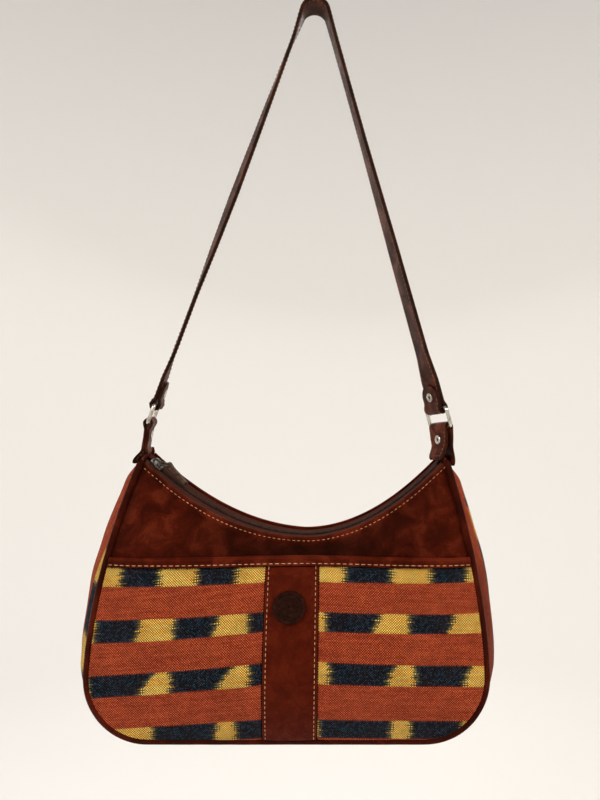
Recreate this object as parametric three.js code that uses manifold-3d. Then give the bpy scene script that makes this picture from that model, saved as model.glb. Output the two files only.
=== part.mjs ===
// A hobo shoulder bag of brown leather and striped cloth, with a scooped zip top, hung by its strap.
// Millimetres, +Z up, the front faces -Y. The origin is the underside of the strap at the top of its loop.
import * as THREE from "three";
import { mergeVertices } from "three/addons/utils/BufferGeometryUtils.js";
import Module from "manifold-3d";

const wasm = await Module();
wasm.setup();

// The body: widths and heights of the outline seam, which is the centre line of the piping.
const WIDTH = 301;
const BOTTOM_Z = -573.5;
const CORNER_R = 47;
const PEAK_Z = -365;
const PEAK_HALF = 120;
const SIDE_CURVE = 1.7;
const CENTRE_X = -22.4;
const SWAY = 8;
const SWAY_HEIGHT = 250;

// The scooped zip edge and the depth of the body.
const LOW_Z = -425.7;
const LOW_U = 12;
const BACK_RISE = 2.8;
const LEFT_RISE = 8;
const RIGHT_RISE = 2.5;
const LIFT_HEIGHT = 50;
const BASE_HALF = 36;
const TOP_HALF = 12;
const DEPTH_CURVE = 1.8;
const FRONT_BELLY = 14;
const BACK_BELLY = 5;
const BELLY_SKEW = 0.85;
const LEFT_BULGE = 14;
const RIGHT_BULGE = 14.2;
const BASE_BULGE = 6.5;
const SIDE_FADE = 0.55;
const SIDE_FADE_HEIGHT = 95;
const PEAK_FADE = 0.2;
const PEAK_FADE_HEIGHT = 22;

// Layers and seams.
const LEATHER = 1.6;
const CLOTH = 1.5;
const PIPING_R = 2.8;
const SEAM_INSET = PIPING_R + 0.6;
const GAP = 0.3;
const BEND_CLEAR = 0.35;

// The front pocket.
const MOUTH_Z = -438;
const BINDING_HEIGHT = 7.2;
const BINDING_DEPTH = 3.4;
const GAPE = 1.2;
const GAPE_HALF = 110;
const GAPE_FALL = 60;
const STRIP_U = 2.5;
const STRIP_HALF = 20.2;
const STRIP_DEPTH = 2.1;
const BADGE_U = 1;
const BADGE_Z = -472.5;
const BADGE_HALF = 12.5;
const BADGE_OVAL = 0.9;

// The zip.
const ZIP_DROP = 2;
const ZIP_END_U = 117;
const TAPE = 0.8;
const TAPE_OUTER = TOP_HALF - LEATHER - GAP;
const COIL_HALF = 3;
const COIL_RISE = 1;
const COIL_DEPTH = 2.4;
const COIL_CLEAR = 2.1;
const SLIDER_U = -111.5;
const SLIDER_LENGTH = 11;
const HINGE = { x: 0.6, z: 3.05 };
const LOOP_LENGTH = 9;
const LOOP_HALF = 3;
const LOOP_WIRE_R = 0.7;
const LOOP_CORNER = 1.5;
const LOOP_LIFT = 32;
const PULL_DROP = 6;
const PULL_LENGTH = 21;
const PULL_WIDTH = 3.6;
const PULL = 1.2;

// The strap, its rings and the tabs that hold the rings.
const STRAP_WIDTH = 22;
const STRAP = 2.6;
const APEX_R = 11;
const FLAP = 20;
const STRAP_EYELET = 10;
const RING_HALF = 14;
const RING_HEIGHT = 15.5;
const RING_CORNER = 3.1;
const WIRE_R = 1.5;
const TAB_WIDTH = 23;
const TAB_FOOT_WIDTH = 19;
const TAB = 2.2;
const TAB_EYELET = 10;
const TAB_TURNED = 32;
const TAB_FOOT_Z = -371;
const EYELET_R = 3.8;
const BARREL_R = 2;
const BORE_R = 1.35;
const FLANGE = 0.7;
const FLANGE_SLOPE = 0.4;

// The two ends of the strap: how far out the ring's lower bar and the tab's foot are, how high the bar is,
// turns towards the front in degrees (of the ring, of the tab's foot, and of the strap at equal steps up
// its leg), how far apart the tab's two legs are at its rivet, and how far below the bar the tab has
// narrowed and opens to hold the bag's corner.
const ENDS = [
  {
    name: "left",
    sign: -1,
    bar: 118,
    barZ: -336,
    foot: 122,
    ringTurn: -5,
    footTurn: 4,
    legTurns: [-14, -13, -20, -24, -21, -17, -12],
    tabApart: 2.5,
    tabNarrow: 12,
    tabOpen: 16,
    inner: { length: 20.3, spread: 4 },
    outer: { length: 34, spread: 6.4 },
  },
  {
    name: "right",
    sign: 1,
    bar: 117.5,
    barZ: -340,
    foot: 120,
    ringTurn: 22,
    footTurn: 4,
    legTurns: [11, 9, 7, 3, -1, -2, -2],
    tabApart: 5.2,
    tabNarrow: 13,
    tabOpen: 14,
    inner: { length: 26, spread: 8 },
    outer: { length: 30, spread: 8.2 },
  },
];

const LOOKS = {
  leather: { color: 0x4e1c0e, roughness: 0.5, metalness: 0 },
  piping: { color: 0x42150b, roughness: 0.5, metalness: 0 },
  strap: { color: 0x3a1d15, roughness: 0.52, metalness: 0 },
  cloth: { color: 0x9c4022, roughness: 0.9, metalness: 0 },
  tape: { color: 0x46291e, roughness: 0.9, metalness: 0 },
  coil: { color: 0x2c201b, roughness: 0.55, metalness: 0 },
  nickel: { color: 0xb9b4ab, roughness: 0.28, metalness: 1 },
  gunmetal: { color: 0x77716a, roughness: 0.36, metalness: 1 },
  badge: { color: 0x2a130d, roughness: 0.5, metalness: 0 },
};

const CORNER_Z = BOTTOM_Z + CORNER_R;
const SIDE_TAPER = WIDTH / 2 - PEAK_HALF;
const TO_BACK = new THREE.Vector3(0, 1, 0);
const vec = (x, y, z) => new THREE.Vector3(x, y, z);
const mix = THREE.MathUtils.lerp;
const smooth = THREE.MathUtils.smoothstep;
const radians = THREE.MathUtils.degToRad;
const bag = new THREE.Group();
bag.name = "shoulder_bag";

function piece(name, geometry, look) {
  const mesh = new THREE.Mesh(geometry, new THREE.MeshStandardMaterial(LOOKS[look]));
  mesh.name = name;
  bag.add(mesh);
  return mesh;
}

// Joins a row of equal rings of points into one closed skin. Each ring runs out along one side and back
// along the other, so an open end is closed by joining its two sides across.
function skin(rings, closed = false) {
  const count = rings[0].length;
  const points = rings.flat();
  const faces = [];
  const quad = (a, b, c, d) => faces.push([a, b, c], [a, c, d]);
  const spans = closed ? rings.length : rings.length - 1;
  for (let i = 0; i < spans; i++) {
    const here = i * count;
    const next = ((i + 1) % rings.length) * count;
    for (let j = 0; j < count; j++) {
      const k = (j + 1) % count;
      quad(here + j, next + j, next + k, here + k);
    }
  }
  const end = (rings.length - 1) * count;
  for (let j = 0; !closed && j < count / 2 - 1; j++) {
    quad(j, j + 1, count - 2 - j, count - 1 - j);
    quad(end + j, end + count - 1 - j, end + count - 2 - j, end + j + 1);
  }
  const corner = ([a, b, c]) => points[a].dot(points[b].clone().cross(points[c]));
  const outward = faces.reduce((sum, face) => sum + corner(face), 0) > 0;
  const geometry = new THREE.BufferGeometry().setFromPoints(points);
  geometry.setIndex(faces.flatMap(([a, b, c]) => (outward ? [a, b, c] : [a, c, b])));
  geometry.computeVertexNormals();
  return geometry;
}

// A closed wall between two faces. face(s, t, side) is a point for s and t from 0 to 1, on the outer face
// for side 0 and on the inner face for side 1.
function wall(face, columns, rows) {
  const rings = [];
  for (let i = 0; i <= columns; i++) {
    const ring = [];
    for (let j = 0; j <= rows; j++) ring.push(face(i / columns, j / rows, 0));
    for (let j = rows; j >= 0; j--) ring.push(face(i / columns, j / rows, 1));
    rings.push(ring);
  }
  return skin(rings);
}

// A round bar along stations that each give a centre and two directions across it.
function bar(stations, radius, sides, closed = false) {
  const around = ({ at, first, second }, j) => {
    const angle = ((j + 0.5) / sides) * 2 * Math.PI;
    const ring = at.clone().addScaledVector(first, radius * Math.cos(angle));
    return ring.addScaledVector(second, radius * Math.sin(angle));
  };
  const ring = (station) => Array.from({ length: sides }, (_, j) => around(station, j));
  return skin(stations.map(ring), closed);
}

// A flat band with softened edges along stations that each give a centre, the direction across and a width.
const BAND_SECTION = [
  [-1, 0.4],
  [-0.9, 1],
  [0.9, 1],
  [1, 0.4],
  [1, -0.4],
  [0.9, -1],
  [-0.9, -1],
  [-1, -0.4],
];
function band(stations, thickness) {
  const rings = stations.map(({ at, across, width }, i) => {
    const before = stations[Math.max(i - 1, 0)].at;
    const after = stations[Math.min(i + 1, stations.length - 1)].at;
    const along = after.clone().sub(before).normalize();
    const normal = along.clone().cross(across).normalize();
    const side = normal.clone().cross(along);
    return BAND_SECTION.map(([s, n]) => {
      const edge = at.clone().addScaledVector(side, (s * width) / 2);
      return edge.addScaledVector(normal, (n * thickness) / 2);
    });
  });
  return skin(rings);
}

function solid(geometry) {
  const bare = new THREE.BufferGeometry();
  bare.setAttribute("position", geometry.getAttribute("position"));
  bare.setIndex(geometry.index);
  const merged = mergeVertices(bare, 1e-4);
  const vertProperties = new Float32Array(merged.getAttribute("position").array);
  const triVerts = new Uint32Array(merged.index.array);
  return new wasm.Manifold(new wasm.Mesh({ numProp: 3, vertProperties, triVerts }));
}

function shell(manifold) {
  const { vertProperties, triVerts } = manifold.getMesh();
  const geometry = new THREE.BufferGeometry();
  geometry.setAttribute("position", new THREE.BufferAttribute(vertProperties, 3));
  geometry.setIndex(new THREE.BufferAttribute(triVerts, 1));
  geometry.computeVertexNormals();
  return geometry;
}

// The body's own coordinates: u across from its middle line, whose top sways to the right as the bag hangs.
const place = (u, y, z) => vec(CENTRE_X + u + SWAY * ((z - BOTTOM_Z) / SWAY_HEIGHT) ** 2, y, z);

// Half the width between the seams at a height, drawn in by an inset.
function halfWidth(z, inset = 0) {
  const below = CORNER_Z - z;
  if (below > 0) {
    return WIDTH / 2 - CORNER_R + Math.sqrt(Math.max((CORNER_R - inset) ** 2 - below ** 2, 0));
  }
  return WIDTH / 2 - inset - SIDE_TAPER * ((z - CORNER_Z) / (PEAK_Z - CORNER_Z)) ** SIDE_CURVE;
}

// Share of the way from the scoop's lowest point to the peaks, 0 to 1.
function scoop(u) {
  const reach = u < LOW_U ? PEAK_HALF + LOW_U : PEAK_HALF - LOW_U;
  return Math.min(((u - LOW_U) / reach) ** 2, 1);
}

// The zip edge of the front panel, or of the back one, which stands higher by a share of the rise.
const endRise = (u) => (u < LOW_U ? LEFT_RISE : RIGHT_RISE);
const riseAt = (u) => mix(BACK_RISE, endRise(u), Math.sin((Math.PI / 2) * Math.sqrt(scoop(u))));
const rim = (u, back) => mix(LOW_Z, PEAK_Z, scoop(u)) + back * riseAt(u);
const halfDepth = (share) => mix(BASE_HALF, TOP_HALF, Math.max(share, 0) ** DEPTH_CURVE);

// Distance of a panel's outer face from the middle plane.
function panelDepth(u, z, belly, back) {
  const share = Math.max((z - BOTTOM_Z) / (rim(u, back) - BOTTOM_Z), 0);
  const across = Math.max(1 - (u / halfWidth(z)) ** 2, 0);
  return halfDepth(share) + belly * across * Math.sin(Math.PI * Math.min(share, 1) ** BELLY_SKEW);
}

// A panel from the base seam to the zip edge. Its rows bend from the flat base to the scoop.
function panelFace(sign, belly, back) {
  const base = BOTTOM_Z + SEAM_INSET;
  return (s, t, side) => {
    const lift = t ** 1.5;
    const share = 2 * s - 1;
    const peak = PEAK_Z + back * riseAt(share * PEAK_HALF);
    const u = share * halfWidth(mix(base, peak, lift), SEAM_INSET);
    const z = mix(base, rim(u, back), lift);
    return place(u, sign * (panelDepth(u, z, belly, back) - side * LEATHER), z);
  };
}

piece("front_panel", wall(panelFace(-1, FRONT_BELLY, 0), 24, 14), "leather");
piece("back_panel", wall(panelFace(1, BACK_BELLY, 1), 18, 10), "leather");

// Stations round the outline seam from the left peak, under the bag, to the right peak, with the outward
// direction at each.
function seamStations() {
  const half = [];
  const flat = WIDTH / 2 - CORNER_R;
  for (let i = 0; i <= 4; i++) {
    half.push({ u: (i / 4) * flat, z: BOTTOM_Z, out: vec(0, 0, -1) });
  }
  for (let i = 1; i <= 6; i++) {
    const angle = (i / 6) * (Math.PI / 2);
    const out = vec(Math.sin(angle), 0, -Math.cos(angle));
    half.push({ u: flat + CORNER_R * out.x, z: CORNER_Z + CORNER_R * out.z, out });
  }
  for (let i = 1; i <= 8; i++) {
    const share = i / 8;
    const fall = (SIDE_TAPER * SIDE_CURVE * share ** (SIDE_CURVE - 1)) / (PEAK_Z - CORNER_Z);
    const z = mix(CORNER_Z, PEAK_Z, share);
    half.push({ u: halfWidth(z), z, out: vec(1, 0, fall).normalize() });
  }
  const mirrored = half.slice(1).map(({ u, z, out }) => ({ u: -u, z, out: vec(-out.x, 0, out.z) }));
  return [...mirrored.reverse(), ...half];
}

const seam = seamStations();
const seamDepth = (z) => halfDepth((z - BOTTOM_Z) / (PEAK_Z - BOTTOM_Z));

// A point between the two outline seams, of which the back one stands higher near the peaks.
function seamPoint({ u, z }, y, back) {
  const high = z + back * endRise(u) * smooth(z, PEAK_Z - LIFT_HEIGHT, PEAK_Z);
  return place(z < CORNER_Z ? u : Math.sign(u) * halfWidth(high), y, high);
}

for (const [name, sign, back] of [
  ["piping_front", -1, 0],
  ["piping_back", 1, 1],
]) {
  const stations = seam.map((station) => ({
    at: seamPoint(station, sign * seamDepth(station.z), back),
    first: station.out,
    second: TO_BACK,
  }));
  piece(name, bar(stations, PIPING_R, 8), "piping");
}

// The cloth band between the two pipings swells outwards, least under the base and at the top ends.
function gussetRing({ u, z, out }) {
  const depth = seamDepth(z);
  const swell = mix(u < 0 ? LEFT_BULGE : RIGHT_BULGE, BASE_BULGE, Math.max(-out.z, 0));
  const sideFade = mix(1, SIDE_FADE, smooth(z, PEAK_Z - SIDE_FADE_HEIGHT, PEAK_Z));
  const bulge = swell * sideFade * mix(1, PEAK_FADE, smooth(z, PEAK_Z - PEAK_FADE_HEIGHT, PEAK_Z));
  const point = (v, offset) => {
    const away = bulge * (1 - v * v) + offset;
    return seamPoint({ u, z }, v * (depth - SEAM_INSET), (1 + v) / 2).addScaledVector(out, away);
  };
  const across = [-1, -0.6, -0.2, 0.2, 0.6, 1];
  const inside = across.toReversed().map((v) => point(v, -CLOTH / 2));
  return [...across.map((v) => point(v, CLOTH / 2)), ...inside];
}

piece("gusset", skin(seam.map(gussetRing)), "cloth");

// The front pocket lies over the front panel and stands off a little at the middle of its mouth.
function pocketDepth(u, z) {
  const loose = GAPE * Math.max(1 - (u / GAPE_HALF) ** 2, 0) * smooth(z, MOUTH_Z - GAPE_FALL, MOUTH_Z);
  return panelDepth(u, z, FRONT_BELLY, 0) + 2 * GAP + loose;
}

const pocketBase = BOTTOM_Z + SEAM_INSET;
const pocketTop = MOUTH_Z - BINDING_HEIGHT - GAP;

for (const [name, sign] of [
  ["pocket_cloth_left", -1],
  ["pocket_cloth_right", 1],
]) {
  const face = (s, t, side) => {
    const z = mix(pocketBase, pocketTop, t ** 1.5);
    const u = mix(STRIP_U + sign * (STRIP_HALF + GAP), sign * halfWidth(z, SEAM_INSET), s);
    return place(u, -(pocketDepth(u, z) + (1 - side) * CLOTH), z);
  };
  piece(name, wall(face, 9, 12), "cloth");
}

const stripFace = (s, t, side) => {
  const u = STRIP_U + mix(-STRIP_HALF, STRIP_HALF, s);
  const z = mix(pocketBase, pocketTop, t);
  return place(u, -(pocketDepth(u, z) + (1 - side) * STRIP_DEPTH), z);
};
piece("pocket_strip", wall(stripFace, 4, 12), "leather");

// The binding's section, from its outer lower edge over the rounded mouth to its inner lower edge: how far
// in front of the pocket's inner face, and how far above the binding's foot, as shares of its size.
const BINDING_SECTION = [
  [1, 0],
  [1, 0.88],
  [0.75, 1],
  [0.3, 1],
  [0, 0.9],
  [0, 0],
];
const bindingFoot = MOUTH_Z - BINDING_HEIGHT;
const bindingRings = Array.from({ length: 29 }, (_, i) => {
  return BINDING_SECTION.map(([out, rise]) => {
    const z = bindingFoot + rise * BINDING_HEIGHT;
    const u = mix(-1, 1, i / 28) * halfWidth(z, SEAM_INSET);
    return place(u, -(pocketDepth(u, z) + out * BINDING_DEPTH), z);
  });
});
piece("pocket_binding", skin(bindingRings), "leather");

// The badge is a domed oval with a raised rim, bent to lie on the strip.
const badgeProfile = [
  [0, 0],
  [0.95, 0],
  [1, 0.6],
  [0.97, 2],
  [0.88, 2.5],
  [0.78, 1.9],
  [0.4, 2.6],
  [0, 2.8],
].map(([share, rise]) => new THREE.Vector2(share * BADGE_HALF, rise));
const badge = new THREE.LatheGeometry(badgeProfile, 28);
const badgePoints = badge.getAttribute("position");
for (let i = 0; i < badgePoints.count; i++) {
  const u = BADGE_U + badgePoints.getX(i);
  const z = BADGE_Z - badgePoints.getZ(i) * BADGE_OVAL;
  const out = pocketDepth(u, z) + STRIP_DEPTH + GAP + badgePoints.getY(i);
  const { x, y } = place(u, -out, z);
  badgePoints.setXYZ(i, x, y, z);
}
badge.computeVertexNormals();
piece("badge", badge, "badge");

// The zip lies just below the two leather edges and tilts to the front.
function zipHeight(u, y) {
  return rim(u, (y + TOP_HALF) / (2 * TOP_HALF)) - ZIP_DROP;
}

const zipFace = (startU, nearY, farY, top, thickness) => (s, t, side) => {
  const u = mix(startU, ZIP_END_U, s);
  const y = mix(nearY, farY, t);
  return place(u, y, zipHeight(u, y) + top - side * thickness);
};
const tapeInner = COIL_HALF + GAP;
piece("zip_tape_front", wall(zipFace(-ZIP_END_U, -TAPE_OUTER, -tapeInner, 0, TAPE), 30, 1), "tape");
piece("zip_tape_back", wall(zipFace(-ZIP_END_U, tapeInner, TAPE_OUTER, 0, TAPE), 30, 1), "tape");

// The slider's frame: x along the zip to the right, y to the back, z out of the zip.
const zipPoint = (u, y) => place(u, y, zipHeight(u, y));
const zipAlong = zipPoint(SLIDER_U + 1, 0).sub(zipPoint(SLIDER_U - 1, 0)).normalize();
const zipOver = zipPoint(SLIDER_U, 1).sub(zipPoint(SLIDER_U, -1)).normalize();
const zipOut = zipAlong.clone().cross(zipOver).normalize();
const zipBack = zipOut.clone().cross(zipAlong);
const sliderFrame = new THREE.Matrix4().makeBasis(zipAlong, zipBack, zipOut);
sliderFrame.setPosition(zipPoint(SLIDER_U, 0));

const coilStart = SLIDER_U + (SLIDER_LENGTH / 2 + COIL_CLEAR) * zipAlong.x;
const coilFace = zipFace(coilStart, -COIL_HALF, COIL_HALF, COIL_RISE, COIL_DEPTH);
piece("zip_coil", wall(coilFace, 30, 2), "coil");

// The slider holds the tapes' inner edges between its plates and carries an arch for the pull.
function sliderGeometry() {
  const plate = (half, low, high, length) => {
    const box = new THREE.BoxGeometry(length, 2 * half, high - low);
    return solid(box.translate(0, 0, (low + high) / 2));
  };
  const top = plate(4.6, 1.5 * GAP, 1.6, SLIDER_LENGTH);
  const web = plate(2.8, -1.4, 0.6, SLIDER_LENGTH - 1.4);
  const under = plate(4.6, -2.4, -TAPE - 1.5 * GAP, SLIDER_LENGTH);
  const arch = new THREE.Shape();
  arch.moveTo(-4.2, 1.2);
  arch.lineTo(-3.6, 4.6);
  arch.lineTo(-2.4, 5.6);
  arch.lineTo(2.6, 5.6);
  arch.lineTo(3.6, 4.6);
  arch.lineTo(4, 1.2);
  arch.lineTo(2.8, 1.2);
  arch.lineTo(2.3, 4.4);
  arch.lineTo(-2.4, 4.4);
  arch.lineTo(-2.9, 1.2);
  const crown = new THREE.ExtrudeGeometry(arch, { depth: 2.2, bevelEnabled: false });
  crown.translate(0, 0, -1.1).rotateX(Math.PI / 2);
  const flat = new THREE.BufferGeometry();
  flat.setAttribute("position", crown.getAttribute("position"));
  const body = top.add(web).add(under).add(solid(mergeVertices(flat, 1e-4)));
  return shell(body).applyMatrix4(sliderFrame);
}

piece("zip_slider", sliderGeometry(), "gunmetal");

// Stations round a closed rounded rectangle that lies along two directions.
function loopStations(centre, across, along, halfAcross, halfAlong, corner, steps) {
  const flat = across.clone().cross(along);
  const stations = [];
  for (let quarter = 0; quarter < 4; quarter++) {
    for (let i = 0; i <= steps; i++) {
      const angle = (quarter + i / steps) * (Math.PI / 2);
      const right = Math.cos((quarter + 0.5) * (Math.PI / 2)) > 0 ? 1 : -1;
      const high = Math.sin((quarter + 0.5) * (Math.PI / 2)) > 0 ? 1 : -1;
      const radial = across.clone().multiplyScalar(Math.cos(angle));
      radial.addScaledVector(along, Math.sin(angle));
      const at = centre.clone().addScaledVector(across, right * (halfAcross - corner));
      at.addScaledVector(along, high * (halfAlong - corner)).addScaledVector(radial, corner);
      stations.push({ at, first: radial, second: flat });
    }
  }
  return stations;
}

// Stations of a band folded over a bar: down one leg, round the bar and down the other. Each leg point is
// a distance from the bar and a distance off the fold's middle plane.
function foldStations(legs, radius, frameAt) {
  const [first, second] = legs;
  const turnSteps = 8;
  const bend = Array.from({ length: turnSteps + 1 }, (_, i) => {
    const angle = (i / turnSteps) * Math.PI;
    return { down: -radius * Math.sin(angle), off: -radius * Math.cos(angle) };
  });
  const inner = first.toReversed().map((leg) => ({ ...leg, off: -leg.off }));
  return [...inner, ...bend, ...second].map(({ down, off, width }) => {
    const { bar: at, axis, out, across, wide } = frameAt(down, off);
    const centre = at.clone().addScaledVector(axis, down).addScaledVector(out, off);
    return { at: centre, across, width: wide * (width ?? 1) };
  });
}

// The pull: a wire loop under the slider's arch and a folded leather tab that hangs from it.
const tilted = (degrees) => vec(Math.cos(radians(degrees)), 0, Math.sin(radians(degrees)));
const hinge = vec(HINGE.x, 0, HINGE.z);
const loopAlong = tilted(LOOP_LIFT);
const loopCentre = hinge.clone().addScaledVector(loopAlong, LOOP_LENGTH / 2);
const loopPath = loopStations(loopCentre, TO_BACK, loopAlong, LOOP_HALF, LOOP_LENGTH / 2, LOOP_CORNER, 3);
const pullLoop = bar(loopPath, LOOP_WIRE_R, 6, true).applyMatrix4(sliderFrame);
piece("zip_pull_loop", pullLoop, "gunmetal");

const pullBend = LOOP_WIRE_R + BEND_CLEAR + PULL / 2;
const pullLeg = [
  { down: 2.5, off: 0.85 },
  { down: 5, off: 0.75 },
  { down: PULL_LENGTH - 1.2, off: 0.75 },
  { down: PULL_LENGTH, off: 0.75, width: 0.75 },
];
const pullAxis = tilted(-PULL_DROP);
const pullFrame = {
  bar: hinge.clone().addScaledVector(loopAlong, LOOP_LENGTH),
  axis: pullAxis,
  out: vec(-pullAxis.z, 0, pullAxis.x),
  across: TO_BACK,
  wide: PULL_WIDTH,
};
const pullStations = foldStations([pullLeg, pullLeg], pullBend, () => pullFrame);
piece("zip_pull_tab", band(pullStations, PULL).applyMatrix4(sliderFrame), "strap");

// A tubular rivet through two layers: a flange on each face and an open barrel.
function eyelet(grip) {
  const profile = [
    [BORE_R, -grip - FLANGE],
    [EYELET_R - FLANGE_SLOPE, -grip - FLANGE],
    [EYELET_R, -grip],
    [BARREL_R, -grip],
    [BARREL_R, grip],
    [EYELET_R, grip],
    [EYELET_R - FLANGE_SLOPE, grip + FLANGE],
    [BORE_R, grip + FLANGE],
    [BORE_R, -grip - FLANGE],
  ].map(([r, y]) => new THREE.Vector2(r, y));
  return new THREE.LatheGeometry(profile, 12);
}

const aim = (at, axis) => {
  const turn = new THREE.Quaternion().setFromUnitVectors(TO_BACK, axis);
  return new THREE.Matrix4().compose(at, turn, vec(1, 1, 1));
};
const drill = (at, axis) => {
  const hole = new THREE.CylinderGeometry(BARREL_R + GAP, BARREL_R + GAP, 16, 12);
  return solid(hole.applyMatrix4(aim(at, axis)));
};

// Directions across and out of a strip that runs along an axis in the bag's middle plane, turned to face
// partly to the front.
function turned(axis, sign, degrees) {
  const flat = vec(axis.z, 0, -axis.x).multiplyScalar(sign);
  const cos = Math.cos(radians(degrees));
  const sin = Math.sin(radians(degrees));
  return {
    across: TO_BACK.clone().multiplyScalar(cos).addScaledVector(flat, -sin),
    out: flat.clone().multiplyScalar(cos).addScaledVector(TO_BACK, sin),
  };
}

// Where a strap leg from a point leaves the round top of its loop.
const apexCentre = vec(0, 0, STRAP / 2 - APEX_R);
function apexPoint(angle) {
  return apexCentre.clone().add(vec(APEX_R * Math.sin(angle), 0, APEX_R * Math.cos(angle)));
}
function leaveAngle(from) {
  const reach = from.clone().sub(apexCentre);
  const steep = Math.atan2(-reach.z, Math.abs(reach.x));
  return Math.sign(reach.x) * (steep + Math.asin(APEX_R / reach.length()));
}

const strapParts = [];
const strapHoles = [];
for (const end of ENDS) {
  const low = place(end.sign * end.bar, 0, end.barZ);
  const angle = leaveAngle(low);
  const leave = apexPoint(angle);
  const axis = leave.clone().sub(low).normalize();
  const high = low.clone().addScaledVector(axis, RING_HEIGHT);
  const ring = turned(axis, end.sign, end.ringTurn);
  const middle = low.clone().add(high).multiplyScalar(0.5);
  const path = loopStations(middle, ring.across, axis, RING_HALF, RING_HEIGHT / 2, RING_CORNER, 3);
  piece(`ring_${end.name}`, bar(path, WIRE_R, 8, true), "nickel");

  // The tab over the ring's lower bar. Below its rivet it opens, and its outer leg turns
  // to lie on the gusset.
  const foot = place(end.sign * end.foot, 0, TAB_FOOT_Z);
  const lean = low.clone().sub(foot);
  lean.addScaledVector(ring.across, -lean.dot(ring.across)).normalize();
  const tabOut = ring.across.clone().cross(lean).multiplyScalar(end.sign);
  const straight = low.clone().sub(foot).normalize();
  const flat = turned(straight, end.sign, end.footTurn);
  const tabFrame = (down, off) => {
    const share = off > 0 ? smooth(down, end.tabOpen, TAB_TURNED) : 0;
    return {
      bar: low,
      axis: lean.clone().lerp(straight, share).normalize().negate(),
      out: tabOut.clone().lerp(flat.out, share).normalize(),
      across: ring.across.clone().lerp(flat.across, share).normalize(),
      wide: TAB_WIDTH,
    };
  };
  const pinch = end.tabApart / 2;
  const tabBend = WIRE_R + BEND_CLEAR + TAB / 2;
  const narrow = TAB_FOOT_WIDTH / TAB_WIDTH;
  const tabLeg = ({ length, spread }) => [
    { down: 2, off: mix(tabBend, pinch, 0.25) },
    { down: 4, off: mix(tabBend, pinch, 0.75) },
    { down: 6, off: pinch },
    { down: end.tabNarrow, off: pinch, width: narrow },
    { down: end.tabOpen, off: pinch, width: narrow },
    { down: mix(end.tabOpen, length, 0.4), off: mix(pinch, spread, 0.35), width: narrow },
    { down: mix(end.tabOpen, length, 0.7), off: mix(pinch, spread, 0.75), width: narrow },
    { down: length - 1.5, off: spread, width: narrow },
    { down: length, off: spread, width: 0.86 * narrow },
  ];
  const legs = [tabLeg(end.inner), tabLeg(end.outer)];
  const tab = band(foldStations(legs, tabBend, tabFrame), TAB);
  const tabRivet = low.clone().addScaledVector(lean, -TAB_EYELET);
  piece(`tab_${end.name}`, shell(solid(tab).subtract(drill(tabRivet, tabOut))), "leather");
  const tabGrip = pinch + TAB / 2 + GAP;
  piece(`tab_eyelet_${end.name}`, eyelet(tabGrip).applyMatrix4(aim(tabRivet, tabOut)), "nickel");

  // The strap's end under the ring's upper bar, its short rounded flap on the inner side.
  const strapPinch = STRAP / 2 + GAP / 2;
  const strapBend = WIRE_R + BEND_CLEAR + STRAP / 2;
  const half = STRAP_WIDTH / 2;
  const round = [9.5, 6, 2.8, 1, 0.2].map((short) => ({
    down: FLAP - short,
    off: strapPinch,
    width: Math.sqrt(1 - ((half - short) / half) ** 2),
  }));
  const grip = [
    { down: 2, off: mix(strapBend, strapPinch, 0.25) },
    { down: 4, off: mix(strapBend, strapPinch, 0.75) },
    { down: 6, off: strapPinch },
  ];
  const strapFrame = { bar: high, axis, out: ring.out, across: ring.across, wide: STRAP_WIDTH };
  const main = [...grip, { down: FLAP + 3, off: strapPinch }];
  const fold = foldStations([[...grip, ...round], main], strapBend, () => strapFrame);
  const start = fold.at(-1).at;
  const leg = end.legTurns.map((degrees, i) => ({
    at: start.clone().lerp(leave, (i + 0.5) / end.legTurns.length),
    across: turned(axis, end.sign, degrees).across,
    width: STRAP_WIDTH,
  }));
  strapParts.push({ stations: [...fold, ...leg], angle });
  const strapRivet = high.clone().addScaledVector(axis, STRAP_EYELET);
  strapHoles.push(drill(strapRivet, ring.out));
  const strapGrip = strapPinch + STRAP / 2 + GAP;
  const strapEyelet = eyelet(strapGrip).applyMatrix4(aim(strapRivet, ring.out));
  piece(`strap_eyelet_${end.name}`, strapEyelet, "nickel");
}

// The strap in one length: left end, over the top, right end.
const [leftPart, rightPart] = strapParts;
const top = Array.from({ length: 11 }, (_, i) => ({
  at: apexPoint(mix(leftPart.angle, rightPart.angle, i / 10)),
  across: TO_BACK,
  width: STRAP_WIDTH,
}));
const strapStations = [...leftPart.stations, ...top, ...rightPart.stations.toReversed()];
const strapBody = strapHoles.reduce((body, hole) => body.subtract(hole), solid(band(strapStations, STRAP)));
piece("strap", shell(strapBody), "strap");

export default bag;
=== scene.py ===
import math

import bpy
import numpy as np
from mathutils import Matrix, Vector, noise


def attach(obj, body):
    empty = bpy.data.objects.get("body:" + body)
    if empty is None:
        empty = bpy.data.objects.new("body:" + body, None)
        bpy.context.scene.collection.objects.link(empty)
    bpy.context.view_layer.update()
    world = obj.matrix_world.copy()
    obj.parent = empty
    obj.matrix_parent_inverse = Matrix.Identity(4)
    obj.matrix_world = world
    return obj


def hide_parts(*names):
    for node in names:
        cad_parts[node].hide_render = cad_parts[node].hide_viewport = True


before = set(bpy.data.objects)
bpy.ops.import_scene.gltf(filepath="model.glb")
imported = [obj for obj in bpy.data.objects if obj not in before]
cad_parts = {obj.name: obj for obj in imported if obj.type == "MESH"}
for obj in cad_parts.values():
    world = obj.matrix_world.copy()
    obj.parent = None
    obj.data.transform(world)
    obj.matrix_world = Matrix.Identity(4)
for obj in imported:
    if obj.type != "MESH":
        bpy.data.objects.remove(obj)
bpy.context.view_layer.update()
bpy.context.scene.view_settings.view_transform = "Standard"


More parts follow.
